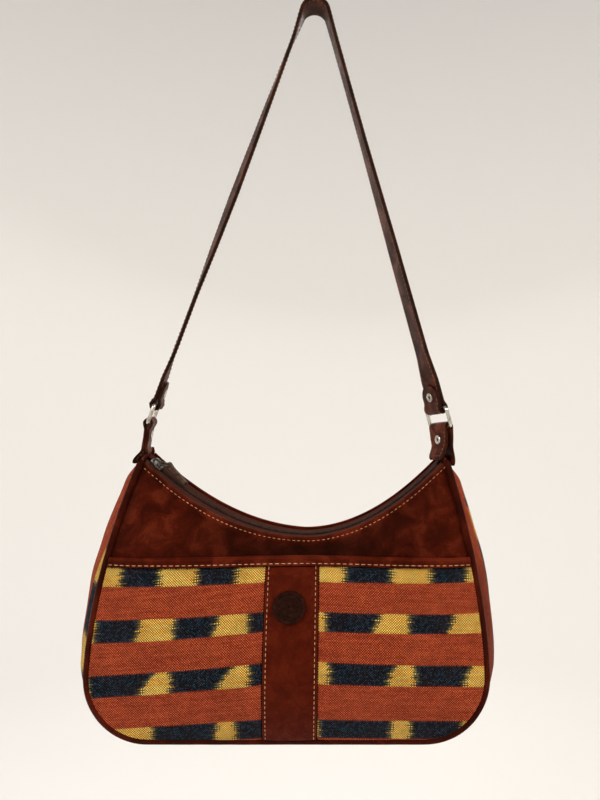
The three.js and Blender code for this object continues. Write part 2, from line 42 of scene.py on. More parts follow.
# Front panel
# One cut of waxed red-brown leather from the base seam to the scooped zip edge, whose upper part shows as
# the yoke. Its top is turned in and sewn down beside the zip, and its other edges go into the piping seam.
WIDTH = 0.301
BOTTOM_Z = -0.5735
CORNER_R = 0.047
CORNER_Z = BOTTOM_Z + CORNER_R
PEAK_Z = -0.365
PEAK_HALF = 0.120
SIDE_CURVE = 1.7
CENTRE_X = -0.0224
SWAY = 0.008
SWAY_HEIGHT = 0.250
LOW_Z = -0.4257
LOW_U = 0.012
BACK_RISE = 0.0028
LEFT_RISE = 0.008
RIGHT_RISE = 0.0025
BASE_HALF = 0.036
TOP_HALF = 0.012
DEPTH_CURVE = 1.8
BELLY_SKEW = 0.85
FRONT_BELLY = 0.014
LEATHER = 0.0016
PIPING_R = 0.0028
SEAM_INSET = PIPING_R - 0.0008
TURN_SWELL = 0.0006
TURN_FADE = (0.00434, 0.00744)
STITCH_INSET = 0.0034
GROOVE_HALF = 0.0009
GROOVE_DEEP = 0.0003
YOKE_HOLLOW = 0.0022
HOLLOW_REACH = 0.075
HOLLOW_DROP = 0.008
HOLLOW_HALF = 0.007
HIDE_RIPPLE = 0.0005
HIDE_PATCH = 0.035
EDGE_SHARE = 0.93
ROW_CROWDING = 1.4
# Painted shade and rubbed places run from 0 to 1. Shade is painted beside the side seams, more on the left,
# in the pulled folds, by so much for each metre of their depth, and in the hollow below the zip's lowest
# place. A reach or a drop says where one starts to fade and where it ends.
LEFT_SHADE = 0.62
RIGHT_SHADE = 0.35
SIDE_SHADE_REACH = (0.001, 0.010)
FOLD_SHADE = 230
MIDDLE_SHADE = 0.85
MIDDLE_SHADE_HALF = 0.08
MIDDLE_SHADE_DROP = (0.003, 0.009)
RIM_WEAR = 0.5
RIM_WEAR_DROP = (0.0005, 0.003)
# Folds that the tabs pull into the yoke below the peaks: middle, direction from upright in degrees, half
# length, half width and depth.
PULL_FOLDS = [
    {"u": -0.1075, "z": -0.379, "turn": -28, "long": 0.013, "wide": 0.0032, "deep": 0.0017},
    {"u": -0.0985, "z": -0.397, "turn": -20, "long": 0.017, "wide": 0.0050, "deep": 0.0009},
    {"u": 0.1080, "z": -0.383, "turn": 22, "long": 0.014, "wide": 0.0040, "deep": 0.0010},
    {"u": 0.0800, "z": -0.412, "turn": 48, "long": 0.026, "wide": 0.0070, "deep": 0.0008},
    {"u": -0.0600, "z": -0.421, "turn": -62, "long": 0.030, "wide": 0.0060, "deep": 0.0007},
]


def mix(low, high, share):
    return low + (high - low) * share


def smooth(value, low, high):
    share = np.clip((value - low) / (high - low), 0, 1)
    return share * share * (3 - 2 * share)


def place(u, y, z):
    """A point from the body's own u across, y and z. Its middle line sways to the right as it hangs."""
    x = CENTRE_X + u + SWAY * ((z - BOTTOM_Z) / SWAY_HEIGHT) ** 2
    return np.stack(np.broadcast_arrays(x, y, z), axis=-1)


def half_width(z, inset=0.0):
    """Half the outline's width at a height, or that of a line inset from it."""
    below = np.clip(CORNER_Z - z, 0, None)
    corner = WIDTH / 2 - CORNER_R + np.sqrt(np.clip((CORNER_R - inset) ** 2 - below**2, 0, None))
    rise = np.clip((z - CORNER_Z) / (PEAK_Z - CORNER_Z), 0, None)
    side = WIDTH / 2 - inset - (WIDTH / 2 - PEAK_HALF) * rise**SIDE_CURVE
    return np.where(z < CORNER_Z, corner, side)


def scoop(u):
    """How far the zip edge has risen, from 0 at its lowest place to 1 at the peaks."""
    reach = np.where(u < LOW_U, PEAK_HALF + LOW_U, PEAK_HALF - LOW_U)
    return np.clip(((u - LOW_U) / reach) ** 2, 0, 1)


def end_rise(u):
    return np.where(u < LOW_U, LEFT_RISE, RIGHT_RISE)


def rise_at(u):
    """How much higher the back panel stands than the front one."""
    return mix(BACK_RISE, end_rise(u), np.sin(np.pi / 2 * np.sqrt(scoop(u))))


def rim(u, back):
    """The height of the zip edge, of the front panel where back is 0 and of the back one where it is 1."""
    return mix(LOW_Z, PEAK_Z, scoop(u)) + back * rise_at(u)


def half_depth(share):
    """Half the bag's depth at its seams, at a share of the height."""
    return mix(BASE_HALF, TOP_HALF, np.clip(share, 0, None) ** DEPTH_CURVE)


def panel_depth(u, z, belly, back):
    """How far a panel stands off the bag's middle plane: it swells by its belly between the seams."""
    share = np.clip((z - BOTTOM_Z) / (rim(u, back) - BOTTOM_Z), 0, None)
    across = np.clip(1 - (u / np.maximum(half_width(z), 1e-4)) ** 2, 0, None)
    return half_depth(share) + belly * across * np.sin(np.pi * np.minimum(share, 1) ** BELLY_SKEW)


def ripple(u, z, size, seed):
    """Gentle unevenness of hide or cloth, from -1 to 1 over patches of a size."""
    u, z = np.broadcast_arrays(u, z)
    spots = zip((u / size).ravel(), (z / size).ravel())
    return np.array([noise.noise(Vector((a, b, seed))) for a, b in spots]).reshape(u.shape)


def turned_edge(u, z, back):
    """How far the turned-in zip edge stands out: a flat swelling with a groove under its stitches."""
    step = 1e-4
    slope = np.gradient(rim(np.array([-step, 0, step])[:, None] + np.ravel(u), back), step, axis=0)[1]
    below = (rim(u, back) - z) / np.sqrt(1 + slope.reshape(np.shape(u)) ** 2)
    groove = np.exp(-(((below - STITCH_INSET) / GROOVE_HALF) ** 2))
    swell = TURN_SWELL * (1 - smooth(below, *TURN_FADE))
    return swell - GROOVE_DEEP * groove


def pull_folds(u, z):
    """How deep the pulled folds are at a place."""
    depth = 0.0
    for fold in PULL_FOLDS:
        turn = math.radians(fold["turn"])
        along = (z - fold["z"]) * math.cos(turn) + (u - fold["u"]) * math.sin(turn)
        over = (u - fold["u"]) * math.cos(turn) - (z - fold["z"]) * math.sin(turn)
        depth = depth + fold["deep"] * np.exp(-((along / fold["long"]) ** 2) - (over / fold["wide"]) ** 2)
    return depth


def front_face(u, z):
    lie = panel_depth(u, z, FRONT_BELLY, 0) + turned_edge(u, z, 0) - pull_folds(u, z)
    below = (rim(u, 0) - HOLLOW_DROP - z) / HOLLOW_HALF
    hollow = np.exp(-(((u - LOW_U) / HOLLOW_REACH) ** 2)) * np.exp(-(below**2))
    return place(u, -(lie - YOKE_HOLLOW * hollow + HIDE_RIPPLE * ripple(u, z, HIDE_PATCH, seed=3.1)), z)


def panel_grid(face, back, columns, rows, edge_rows):
    """A panel's points from the base seam to the zip edge, with close rows along the turned edge."""
    base = BOTTOM_Z + SEAM_INSET
    s = np.linspace(-1, 1, columns)[:, None]
    low = EDGE_SHARE * np.linspace(0, 1, rows, endpoint=False) ** ROW_CROWDING
    lift = np.concatenate([low, np.linspace(EDGE_SHARE, 1, edge_rows)])[None, :]
    u = s * half_width(mix(base, PEAK_Z + back * rise_at(s * PEAK_HALF), lift), SEAM_INSET)
    z = mix(base, rim(u, back), lift)
    return face(u, z), u, z


def unit(vectors):
    return vectors / np.linalg.norm(vectors, axis=-1, keepdims=True)


ROUND_EDGE = np.radians([36, 72, 108, 144])
ROUND_END = [35, 70]


def thick_sheet(points, thickness):
    """Closed rings round a sheet with soft edges whose outer face is a grid of points, and, for each place
    on them, the column and row of the grid that it belongs to."""
    half = thickness / 2
    outer = points.copy()
    normal = unit(np.cross(np.gradient(points, axis=0), np.gradient(points, axis=1)))
    past_top = unit(points[:, -1] - points[:, -2])
    past_base = unit(points[:, 0] - points[:, 1])
    past_last = unit(points[-1] - points[-2])
    past_first = unit(points[0] - points[1])
    outer[:, -1] -= half * past_top
    outer[:, 0] -= half * past_base
    outer[-1] -= half * past_last
    outer[0] -= half * past_first
    middle = outer - half * normal

    def arc(column, past, angles):
        turn = np.array(angles)[None, :, None]
        lift = np.cos(turn) * normal[:, column, None] + np.sin(turn) * past[:, None]
        return middle[:, column, None] + half * lift

    rows = points.shape[1]
    base_out = arc(0, past_base, ROUND_EDGE[[1, 0]])
    base_in = arc(0, past_base, ROUND_EDGE[[3, 2]])
    top = arc(rows - 1, past_top, ROUND_EDGE)
    inner = (middle - half * normal)[:, ::-1]
    rings = np.concatenate([base_out, outer, top, inner, base_in], axis=1)
    row_of = np.concatenate([[0, 0], np.arange(rows), [rows - 1] * 4, np.arange(rows)[::-1], [0, 0]])
    core = middle[:, row_of]

    def rounded(column, past, degrees):
        shrink = math.cos(math.radians(degrees))
        reach = half * math.sin(math.radians(degrees))
        return core[column] + (rings[column] - core[column]) * shrink + reach * past[row_of]

    starts = [rounded(0, past_first, degrees) for degrees in ROUND_END[::-1]]
    ends = [rounded(-1, past_last, degrees) for degrees in ROUND_END]
    column_of = np.concatenate([[0, 0], np.arange(len(points)), [len(points) - 1] * 2])
    return np.concatenate([starts, rings, ends]), column_of[:, None], row_of[None, :]


def ring_piece(name, rings, material, closed=False, weave=None, **layers):
    """A closed piece through rings of points. weave is a UV map in metres, and layers are named values
    at the points, for the materials to read."""
    count, around = rings.shape[:2]
    index = np.arange(count * around).reshape(count, around)
    here = index if closed else index[:-1]
    ahead = np.roll(index, -1, axis=0) if closed else index[1:]
    quads = np.stack([here, ahead, np.roll(ahead, -1, 1), np.roll(here, -1, 1)], axis=-1).reshape(-1, 4)
    if not closed:
        j = np.arange(around // 2 - 1)
        first, last = index[0], index[-1]
        starts = np.stack([first[j], first[j + 1], first[around - 2 - j], first[around - 1 - j]], axis=-1)
        ends = np.stack([last[j], last[around - 1 - j], last[around - 2 - j], last[j + 1]], axis=-1)
        quads = np.concatenate([quads, starts, ends])
    points = rings.reshape(-1, 3)
    a, b, c, d = (points[quads[:, k]] for k in range(4))
    if (a * (np.cross(b, c) + np.cross(c, d))).sum() < 0:
        quads = quads[:, ::-1]
    mesh = bpy.data.meshes.new(name)
    mesh.from_pydata(points.tolist(), [], quads.tolist())
    mesh.shade_smooth()
    mesh.materials.append(material)
    for layer, values in layers.items():
        attribute = mesh.attributes.new(layer, "FLOAT", "POINT")
        spread = np.broadcast_to(values, (count, around)).ravel()
        attribute.data.foreach_set("value", spread.astype(np.float32))
    if weave is not None:
        corners = np.zeros(len(mesh.loops), np.int32)
        mesh.loops.foreach_get("vertex_index", corners)
        flat = weave.reshape(-1, 2)[corners]
        mesh.uv_layers.new(name="weave").data.foreach_set("uv", flat.ravel().astype(np.float32))
    made = bpy.data.objects.new(name, mesh)
    bpy.context.scene.collection.objects.link(made)
    return made


def colour(red, green, blue):
    """A screen colour of 0 to 255 as the shader's linear colour."""
    share = np.array([red, green, blue]) / 255
    linear = np.where(share <= 0.04045, share / 12.92, ((share + 0.055) / 1.055) ** 2.4)
    return (*linear.tolist(), 1.0)


def add_node(tree, kind, inputs=None, **settings):
    """A node with its settings, whose inputs are values or the sockets that feed them."""
    made = tree.nodes.new(kind)
    for name, value in settings.items():
        setattr(made, name, value)
    for socket, value in (inputs or {}).items():
        if isinstance(value, bpy.types.NodeSocket):
            tree.links.new(value, made.inputs[socket])
        else:
            made.inputs[socket].default_value = value
    return made


def calc(tree, operation, *values):
    return add_node(tree, "ShaderNodeMath", dict(enumerate(values)), operation=operation).outputs[0]


def remap(tree, value, low, high, to_low=0.0, to_high=1.0):
    """A value moved smoothly from one range to another."""
    sizes = {"Value": value, "From Min": low, "From Max": high, "To Min": to_low, "To Max": to_high}
    return add_node(tree, "ShaderNodeMapRange", sizes, interpolation_type="SMOOTHSTEP").outputs[0]


def blend_colour(tree, share, first, second, kind="MIX"):
    sides = {0: share, 6: first, 7: second}
    return add_node(tree, "ShaderNodeMix", sides, data_type="RGBA", blend_type=kind).outputs[2]


def node_group(name, kind, inputs, outputs):
    """A node group with named sockets: inputs as name, type and first value, outputs as name and type."""
    tree = bpy.data.node_groups.new(name, kind)
    for label, socket_type, value in inputs:
        socket = tree.interface.new_socket(label, in_out="INPUT", socket_type=socket_type)
        if value is not None:
            socket.default_value = value
    for label, socket_type in outputs:
        tree.interface.new_socket(label, in_out="OUTPUT", socket_type=socket_type)
    return tree, tree.nodes.new("NodeGroupInput").outputs, tree.nodes.new("NodeGroupOutput").inputs


def new_material(name, finish):
    """A material, its node tree and its surface, with the values that are the same all over it."""
    material = bpy.data.materials.new(name)
    material.use_nodes = True
    surface = material.node_tree.nodes["Principled BSDF"]
    for socket, value in finish.items():
        surface.inputs[socket].default_value = value
    return material, material.node_tree, surface


def own_place(tree):
    """A point's place in the bag's frame."""
    return add_node(tree, "ShaderNodeTexCoord").outputs["Object"]


def layer_value(tree, name):
    """One of a piece's named layers, or 0 where the piece doesn't have it."""
    return add_node(tree, "ShaderNodeAttribute", attribute_name=name).outputs["Fac"]


def mottle(tree, at, scale, detail):
    """Cloudy noise, about 0.5."""
    spots = {"Vector": at, "Scale": scale, "Detail": detail}
    return add_node(tree, "ShaderNodeTexNoise", spots).outputs[0]


def emboss(tree, surface, height, distance, strength):
    relief = {"Height": height, "Distance": distance, "Strength": strength}
    tree.links.new(add_node(tree, "ShaderNodeBump", relief).outputs[0], surface.inputs["Normal"])


CREASE_WIDTH = 0.22
PATCH_RANGE = (0.32, 0.68)


def leather_grain():
    """Pebbled grain with creases between the pebbles, and the cloudy patches of a waxed hide."""
    tree, given, made = node_group(
        "leather_grain",
        "ShaderNodeTree",
        [
            ("Position", "NodeSocketVector", None),
            ("Pebble Size", "NodeSocketFloat", 0.0011),
            ("Patch Size", "NodeSocketFloat", 0.03),
        ],
        [("Height", "NodeSocketFloat"), ("Patch", "NodeSocketFloat"), ("Crease", "NodeSocketFloat")],
    )
    pebble = calc(tree, "DIVIDE", 1.0, given["Pebble Size"])
    patch = calc(tree, "DIVIDE", 1.0, given["Patch Size"])
    drift = {"Vector": given["Position"], "Scale": 260.0, "Detail": 2.0}
    wander = add_node(tree, "ShaderNodeTexNoise", drift)
    shift = {0: wander.outputs["Color"], 1: (0.0006, 0.0006, 0.0006), 2: given["Position"]}
    bent = add_node(tree, "ShaderNodeVectorMath", shift, operation="MULTIPLY_ADD").outputs[0]
    cells = {"Vector": bent, "Scale": pebble}
    edges = add_node(tree, "ShaderNodeTexVoronoi", cells, feature="DISTANCE_TO_EDGE").outputs["Distance"]
    crease = remap(tree, edges, 0.0, CREASE_WIDTH)
    pores = mottle(tree, bent, scale=calc(tree, "MULTIPLY", pebble, 2.6), detail=3.0)
    tree.links.new(calc(tree, "MULTIPLY_ADD", pores, 0.5, crease), made["Height"])
    tree.links.new(crease, made["Crease"])
    clouds = {"Vector": given["Position"], "Scale": patch, "Detail": 7.0}
    rough = {"Roughness": 0.62, "Distortion": 0.5}
    cloud = add_node(tree, "ShaderNodeTexNoise", {**clouds, **rough}).outputs[0]
    tree.links.new(remap(tree, cloud, *PATCH_RANGE), made["Patch"])
    return tree


GRAIN = leather_grain()


def leather(
    name, dark, middle, light, roughness=0.5, pebble=0.0011, patch=0.03, relief=0.00012, shine=0.05
):
    """A waxed leather of three tones. The layer shade darkens it, as painted shade on the front panel, as dyed
    edges on the tabs and strap and as the zip pull's dark tip. The layer wear rubs it lighter.
    """
    finish = {"Specular IOR Level": shine, "Specular Tint": (1.0, 0.5, 0.3, 1.0)}
    material, tree, surface = new_material(name, finish)
    sizes = {"Position": own_place(tree), "Pebble Size": pebble, "Patch Size": patch}
    grain = add_node(tree, "ShaderNodeGroup", sizes, node_tree=GRAIN).outputs
    low = blend_colour(tree, remap(tree, grain["Patch"], 0.0, 0.55), dark, middle)
    tone = blend_colour(tree, remap(tree, grain["Patch"], 0.5, 1.0), low, light)
    crease = remap(tree, grain["Crease"], 0.0, 1.0, to_low=0.5, to_high=0.0)
    creased = blend_colour(tree, crease, tone, dark)
    # The colour that the layer shade darkens to, for painted shade and for dyed edges.
    darkest = tuple(0.1 * part for part in dark[:3]) + (1.0,)
    shaded = blend_colour(tree, layer_value(tree, "shade"), creased, darkest)
    patchy = remap(tree, grain["Patch"], 0.0, 1.0, to_low=0.35, to_high=1.0)
    wear_and_painted_shade = calc(tree, "MULTIPLY", layer_value(tree, "wear"), patchy)
    tree.links.new(blend_colour(tree, wear_and_painted_shade, shaded, light), surface.inputs["Base Color"])
    gloss = remap(tree, grain["Patch"], 0.0, 1.0, to_low=roughness + 0.08, to_high=roughness - 0.06)
    tree.links.new(gloss, surface.inputs["Roughness"])
    emboss(tree, surface, grain["Height"], distance=relief, strength=0.8)
    return material


BODY_LEATHER = leather(
    "body_leather",
    dark=colour(46, 8, 2),
    middle=colour(66, 15, 5),
    light=colour(90, 30, 14),
    patch=0.018,
)

grid, grid_u, grid_z = panel_grid(front_face, 0, columns=151, rows=62, edge_rows=13)
rings, columns, rows = thick_sheet(grid, LEATHER)
from_rim = rim(grid_u, 0) - grid_z
# Painted shade beside the side seams, in the pulled folds and in the hollow below the zip's lowest place.
from_side = half_width(grid_z, SEAM_INSET) - np.abs(grid_u)
side_shade = np.where(grid_u < 0, LEFT_SHADE, RIGHT_SHADE) * (1 - smooth(from_side, *SIDE_SHADE_REACH))
fold_shade = FOLD_SHADE * pull_folds(grid_u, grid_z)
from_middle = (grid_u - LOW_U) / MIDDLE_SHADE_HALF
middle_shade = MIDDLE_SHADE * np.exp(-(from_middle**2)) * smooth(from_rim, *MIDDLE_SHADE_DROP)
front_panel = ring_piece(
    "front_panel_leather",
    rings,
    BODY_LEATHER,
    shade=np.max([side_shade, fold_shade, middle_shade], axis=0)[columns, rows],
    wear=(RIM_WEAR * (1 - smooth(from_rim, *RIM_WEAR_DROP)))[columns, rows],
)
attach(front_panel, "bag")
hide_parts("front_panel")


# Back panel
# A plain cut of the same leather behind the bag, a little higher than the front at the zip. It is turned
# in and sewn at the zip and goes into the back piping seam.
BACK_BELLY = 0.005
BACK_RIPPLE = 0.0007
BACK_PATCH = 0.045


def back_face(u, z):
    lie = panel_depth(u, z, BACK_BELLY, 1) + turned_edge(u, z, 1)
    return place(u, lie + BACK_RIPPLE * ripple(u, z, BACK_PATCH, seed=8.4), z)


grid, grid_u, grid_z = panel_grid(back_face, 1, columns=121, rows=56, edge_rows=13)
rings, columns, rows = thick_sheet(grid[::-1], LEATHER)
from_rim = (rim(grid_u, 1) - grid_z)[::-1]
back_panel = ring_piece(
    "back_panel_leather",
    rings,
    BODY_LEATHER,
    wear=(RIM_WEAR * (1 - smooth(from_rim, *RIM_WEAR_DROP)))[columns, rows],
)
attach(back_panel, "bag")
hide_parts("back_panel")


# Gusset
# One long strip of hand-woven ikat round both sides and the base, sewn between the two pipings. Its weft
# runs along the strip, so the dyed band follows it, a little off the straight grain.
CLOTH = 0.0015
LEFT_BULGE = 0.014
RIGHT_BULGE = 0.0142
BASE_BULGE = 0.0065
SIDE_FADE = 0.55
SIDE_FADE_HEIGHT = 0.095
PEAK_FADE = 0.2
PEAK_FADE_HEIGHT = 0.022
LIFT_HEIGHT = 0.050
THREAD_SIZE = 0.00092
BAND_HALF = 0.0068
BAND_STEP = 0.037
BAND_DRIFT = 0.042
BAND_START = -0.029
BLOCK_START = 0.100
BLOCK_STEP = 0.068
NAVY_LENGTH = 0.036
BAND_END = 0.035
PUCKER = 0.0008
PUCKER_SIZE = 0.022
SEAM_STEPS = 26
GUSSET_COLUMNS = 41
# Painted shade on the cloth along the right side's front seam, beside the piping.
SEAM_PAINTED_SHADE = 0.5
SEAM_SHADE_U = (0.08, 0.12)
SEAM_SHADE_Z = (-0.455, -0.435)
SEAM_SHADE_Y = (-0.025, 0.0)
# Each dye's two tones, how streaky the wefts are along and across, how far the dye strays from thread to
# thread, where threads cross, from weft to weft and at a band's edge, and the distances over which one
# colour turns into the next.
GROUND_DYE = (colour(156, 52, 25), colour(218, 102, 61))
GOLD_DYE = (colour(248, 170, 56), colour(255, 230, 124))
NAVY_DYE = (colour(5, 11, 19), colour(42, 64, 82))
FRINGE_DYE = colour(66, 96, 70)
SLUB_TONE = colour(60, 24, 14)
# The colour of the painted shade along the right side's front seam.
PAINTED_SHADE_TONE = colour(52, 15, 3)
GAP_TINT = (0.13, 0.10, 0.07, 1.0)
STREAK_SHARE = 0.45
STREAK_RUN = 26.0
STREAK_LANE = 0.61
STREAK_RANGE = (0.25, 0.75)
WEFT_SHARE = 0.4
RECESS_RANGE = (0.15, 0.65)
THREAD_STRAY = 0.0022
CROSS_STRAY = 0.0026
WEFT_STRAY = 0.0046
EDGE_STRAY = 0.0009
FRINGE_SPAN = (-0.0030, -0.0008)
BLOCK_SPAN = (-0.0006, 0.0006)
BAND_SPAN = (-0.0002, 0.0002)


def seam_line(steps):
    """u, z and the outward direction round the outline seam, from the left peak to the right, with the
    length along it."""
    flat = WIDTH / 2 - CORNER_R
    base = np.linspace(0, flat, steps)
    angle = np.linspace(0, np.pi / 2, steps)[1:]
    share = np.linspace(0, 1, 2 * steps)[1:]
    side_z = mix(CORNER_Z, PEAK_Z, share)
    fall = (WIDTH / 2 - PEAK_HALF) * SIDE_CURVE * share ** (SIDE_CURVE - 1) / (PEAK_Z - CORNER_Z)
    u = np.concatenate([base, flat + CORNER_R * np.sin(angle), half_width(side_z)])
    z = np.concatenate([np.full(steps, BOTTOM_Z), CORNER_Z - CORNER_R * np.cos(angle), side_z])
    out_x = np.concatenate([0 * base, np.sin(angle), 1 / np.sqrt(1 + fall**2)])
    out_z = np.concatenate([0 * base - 1, -np.cos(angle), fall / np.sqrt(1 + fall**2)])
    u = np.concatenate([-u[:0:-1], u])
    z = np.concatenate([z[:0:-1], z])
    out_x = np.concatenate([-out_x[:0:-1], out_x])
    out_z = np.concatenate([out_z[:0:-1], out_z])
    length = np.concatenate([[0], np.cumsum(np.hypot(np.diff(u), np.diff(z)))])
    return u, z, np.stack([out_x, 0 * u, out_z], axis=-1), length


def seam_depth(z):
    return half_depth((z - BOTTOM_Z) / (PEAK_Z - BOTTOM_Z))


def seam_point(u, z, y, back):
    """A point between the two outline seams, of which the back one stands higher near the peaks."""
    high = z + back * end_rise(u) * smooth(z, PEAK_Z - LIFT_HEIGHT, PEAK_Z)
    return place(np.where(z < CORNER_Z, u, np.sign(u) * half_width(high)), y, high)


def vector(tree, parts):
    return add_node(tree, "ShaderNodeCombineXYZ", parts).outputs[0]


def weave_threads():
    """A plain weave of even threads, in which weft and warp come up in turn. Recess is how deep a place
    lies, Side is 1 where the weft is up and 0 where the warp is, Thread varies from crossing to crossing,
    Weft from row to row and Streak along a row."""
    tree, given, made = node_group(
        "weave_threads",
        "ShaderNodeTree",
        [("Place", "NodeSocketVector", None), ("Thread Size", "NodeSocketFloat", THREAD_SIZE)],
        [
            ("Height", "NodeSocketFloat"),
            ("Recess", "NodeSocketFloat"),
            ("Side", "NodeSocketFloat"),
            ("Thread", "NodeSocketFloat"),
            ("Weft", "NodeSocketFloat"),
            ("Streak", "NodeSocketFloat"),
        ],
    )

    def round_thread(over, along, swing, base):
        """How high a thread stands: round across, and rising along it to where it comes up."""
        curve = calc(tree, "POWER", over, 0.5)
        return calc(tree, "MULTIPLY", curve, calc(tree, "MULTIPLY_ADD", along, swing, base))

    split = add_node(tree, "ShaderNodeSeparateXYZ", {0: given["Place"]}).outputs
    across = calc(tree, "DIVIDE", split["X"], given["Thread Size"])
    along = calc(tree, "DIVIDE", split["Y"], given["Thread Size"])
    column, row = calc(tree, "FLOOR", across), calc(tree, "FLOOR", along)
    side = calc(tree, "FLOORED_MODULO", calc(tree, "ADD", column, row), 2.0)
    over_x = calc(tree, "SINE", calc(tree, "MULTIPLY", calc(tree, "SUBTRACT", across, column), math.pi))
    over_y = calc(tree, "SINE", calc(tree, "MULTIPLY", calc(tree, "SUBTRACT", along, row), math.pi))
    weft_high = round_thread(over_y, over_x, swing=0.5, base=0.5)
    warp_high = round_thread(over_x, over_y, swing=0.08, base=0.12)
    height = add_node(tree, "ShaderNodeMix", {0: side, 2: warp_high, 3: weft_high}).outputs[0]
    tree.links.new(height, made["Height"])
    tree.links.new(remap(tree, height, *RECESS_RANGE, to_low=1.0, to_high=0.0), made["Recess"])
    tree.links.new(side, made["Side"])
    names = vector(tree, {0: column, 1: row})
    tree.links.new(add_node(tree, "ShaderNodeTexWhiteNoise", {0: names}).outputs[0], made["Thread"])
    own = add_node(tree, "ShaderNodeTexWhiteNoise", {1: row}, noise_dimensions="1D").outputs[0]
    turn = calc(tree, "FLOORED_MODULO", row, 2.0)
    rest = calc(tree, "MULTIPLY", own, 1 - WEFT_SHARE)
    tree.links.new(calc(tree, "MULTIPLY_ADD", turn, WEFT_SHARE, rest), made["Weft"])
    run = calc(tree, "MULTIPLY", split["X"], STREAK_RUN)
    lane = vector(tree, {0: run, 1: calc(tree, "MULTIPLY", row, STREAK_LANE)})
    streak = mottle(tree, lane, scale=1.0, detail=1.0)
    tree.links.new(remap(tree, streak, *STREAK_RANGE), made["Streak"])
    return tree


WEAVE = weave_threads()


def woven(tree, thread_size):
    """The weave on a piece's own weave map."""
    at = add_node(tree, "ShaderNodeUVMap", uv_map="weave").outputs[0]
    sizes = {"Place": at, "Thread Size": thread_size}
    return add_node(tree, "ShaderNodeGroup", sizes, node_tree=WEAVE).outputs


def ikat_cloth():
    """Orange-red ground with dyed bands. The layers band and navy hold how far inside a band and inside a
    dark block a point is. Each weft took the dye a little to one side, so the blocks' ends feather."""
    finish = {"Roughness": 0.88, "Specular IOR Level": 0.06, "Sheen Weight": 0.03}
    material, tree, surface = new_material("ikat_cloth", finish)
    weave = woven(tree, THREAD_SIZE)

    def strayed(value, cause, reach):
        """A distance moved by up to half a reach either way, as a cause goes from 0 to 1."""
        return calc(tree, "MULTIPLY_ADD", calc(tree, "SUBTRACT", cause, 0.5), reach, value)

    own = strayed(layer_value(tree, "navy"), weave["Thread"], THREAD_STRAY)
    crossed = strayed(own, weave["Side"], CROSS_STRAY)
    dyed = strayed(crossed, weave["Weft"], WEFT_STRAY)
    in_band = strayed(layer_value(tree, "band"), weave["Side"], EDGE_STRAY)
    uneven = calc(tree, "MULTIPLY", weave["Thread"], 1 - STREAK_SHARE)
    spun = calc(tree, "MULTIPLY_ADD", weave["Streak"], STREAK_SHARE, uneven)
    ground = blend_colour(tree, spun, *GROUND_DYE)
    gold = blend_colour(tree, spun, *GOLD_DYE)
    fringe = blend_colour(tree, remap(tree, dyed, *FRINGE_SPAN), gold, FRINGE_DYE)
    dark = blend_colour(tree, calc(tree, "POWER", weave["Thread"], 2.0), *NAVY_DYE)
    block = blend_colour(tree, remap(tree, dyed, *BLOCK_SPAN), fringe, dark)
    cloth = blend_colour(tree, remap(tree, in_band, *BAND_SPAN), ground, block)
    cloud = mottle(tree, own_place(tree), scale=90.0, detail=4.0)
    slubs = remap(tree, cloud, 0.3, 0.7, to_low=0.22, to_high=0.0)
    toned = blend_colour(tree, slubs, cloth, SLUB_TONE)
    deep = blend_colour(tree, 1.0, toned, GAP_TINT, "MULTIPLY")
    shown = blend_colour(tree, weave["Recess"], toned, deep)
    # The layer shade paints shade along the right side's front seam.
    wear_and_painted_shade = blend_colour(tree, layer_value(tree, "shade"), shown, PAINTED_SHADE_TONE)
    tree.links.new(wear_and_painted_shade, surface.inputs["Base Color"])
    emboss(tree, surface, weave["Height"], distance=0.0003, strength=0.9)
    return material


IKAT = ikat_cloth()

seam_u, seam_z, seam_out, seam_length = seam_line(SEAM_STEPS)
depth = seam_depth(seam_z)
swell = mix(np.where(seam_u < 0, LEFT_BULGE, RIGHT_BULGE), BASE_BULGE, np.clip(-seam_out[:, 2], 0, None))
bulge = swell * mix(1, SIDE_FADE, smooth(seam_z, PEAK_Z - SIDE_FADE_HEIGHT, PEAK_Z))
bulge *= mix(1, PEAK_FADE, smooth(seam_z, PEAK_Z - PEAK_FADE_HEIGHT, PEAK_Z))
across = np.linspace(-1, 1, GUSSET_COLUMNS)[None, ::-1]
gusset_y = across * (depth - SEAM_INSET)[:, None]
pucker = PUCKER * ripple(seam_length[:, None], gusset_y, PUCKER_SIZE, seed=5.7) * (1 - across**2)
swell_out = (bulge[:, None] * (1 - across**2) + CLOTH / 2 + pucker)[..., None] * seam_out[:, None]
grid = seam_point(seam_u[:, None], seam_z[:, None], gusset_y, (1 + across) / 2) + swell_out
rings, columns, rows = thick_sheet(grid, CLOTH)
strip_length = np.broadcast_to(seam_length[:, None], gusset_y.shape)
band_place = gusset_y - (BAND_START + BAND_DRIFT * strip_length)
band = BAND_HALF - np.abs((band_place + BAND_STEP / 2) % BAND_STEP - BAND_STEP / 2)
band = np.minimum(band, np.minimum(strip_length, seam_length[-1] - strip_length) - BAND_END)
block_place = (strip_length - BLOCK_START - NAVY_LENGTH / 2 + BLOCK_STEP / 2) % BLOCK_STEP - BLOCK_STEP / 2
# Painted shade along the right side's front seam, fading out higher up and towards the gusset's middle.
painted_shade_side = SEAM_PAINTED_SHADE * smooth(seam_u, *SEAM_SHADE_U) * (1 - smooth(seam_z, *SEAM_SHADE_Z))
wear_and_painted_shade = painted_shade_side[:, None] * (1 - smooth(gusset_y, *SEAM_SHADE_Y))
gusset = ring_piece(
    "gusset_cloth",
    rings,
    IKAT,
    weave=np.stack([strip_length, gusset_y], axis=-1)[columns, rows],
    band=band[columns, rows],
    navy=(NAVY_LENGTH / 2 - np.abs(block_place))[columns, rows],
    shade=wear_and_painted_shade[columns, rows],
)
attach(gusset, "bag")
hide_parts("gusset")


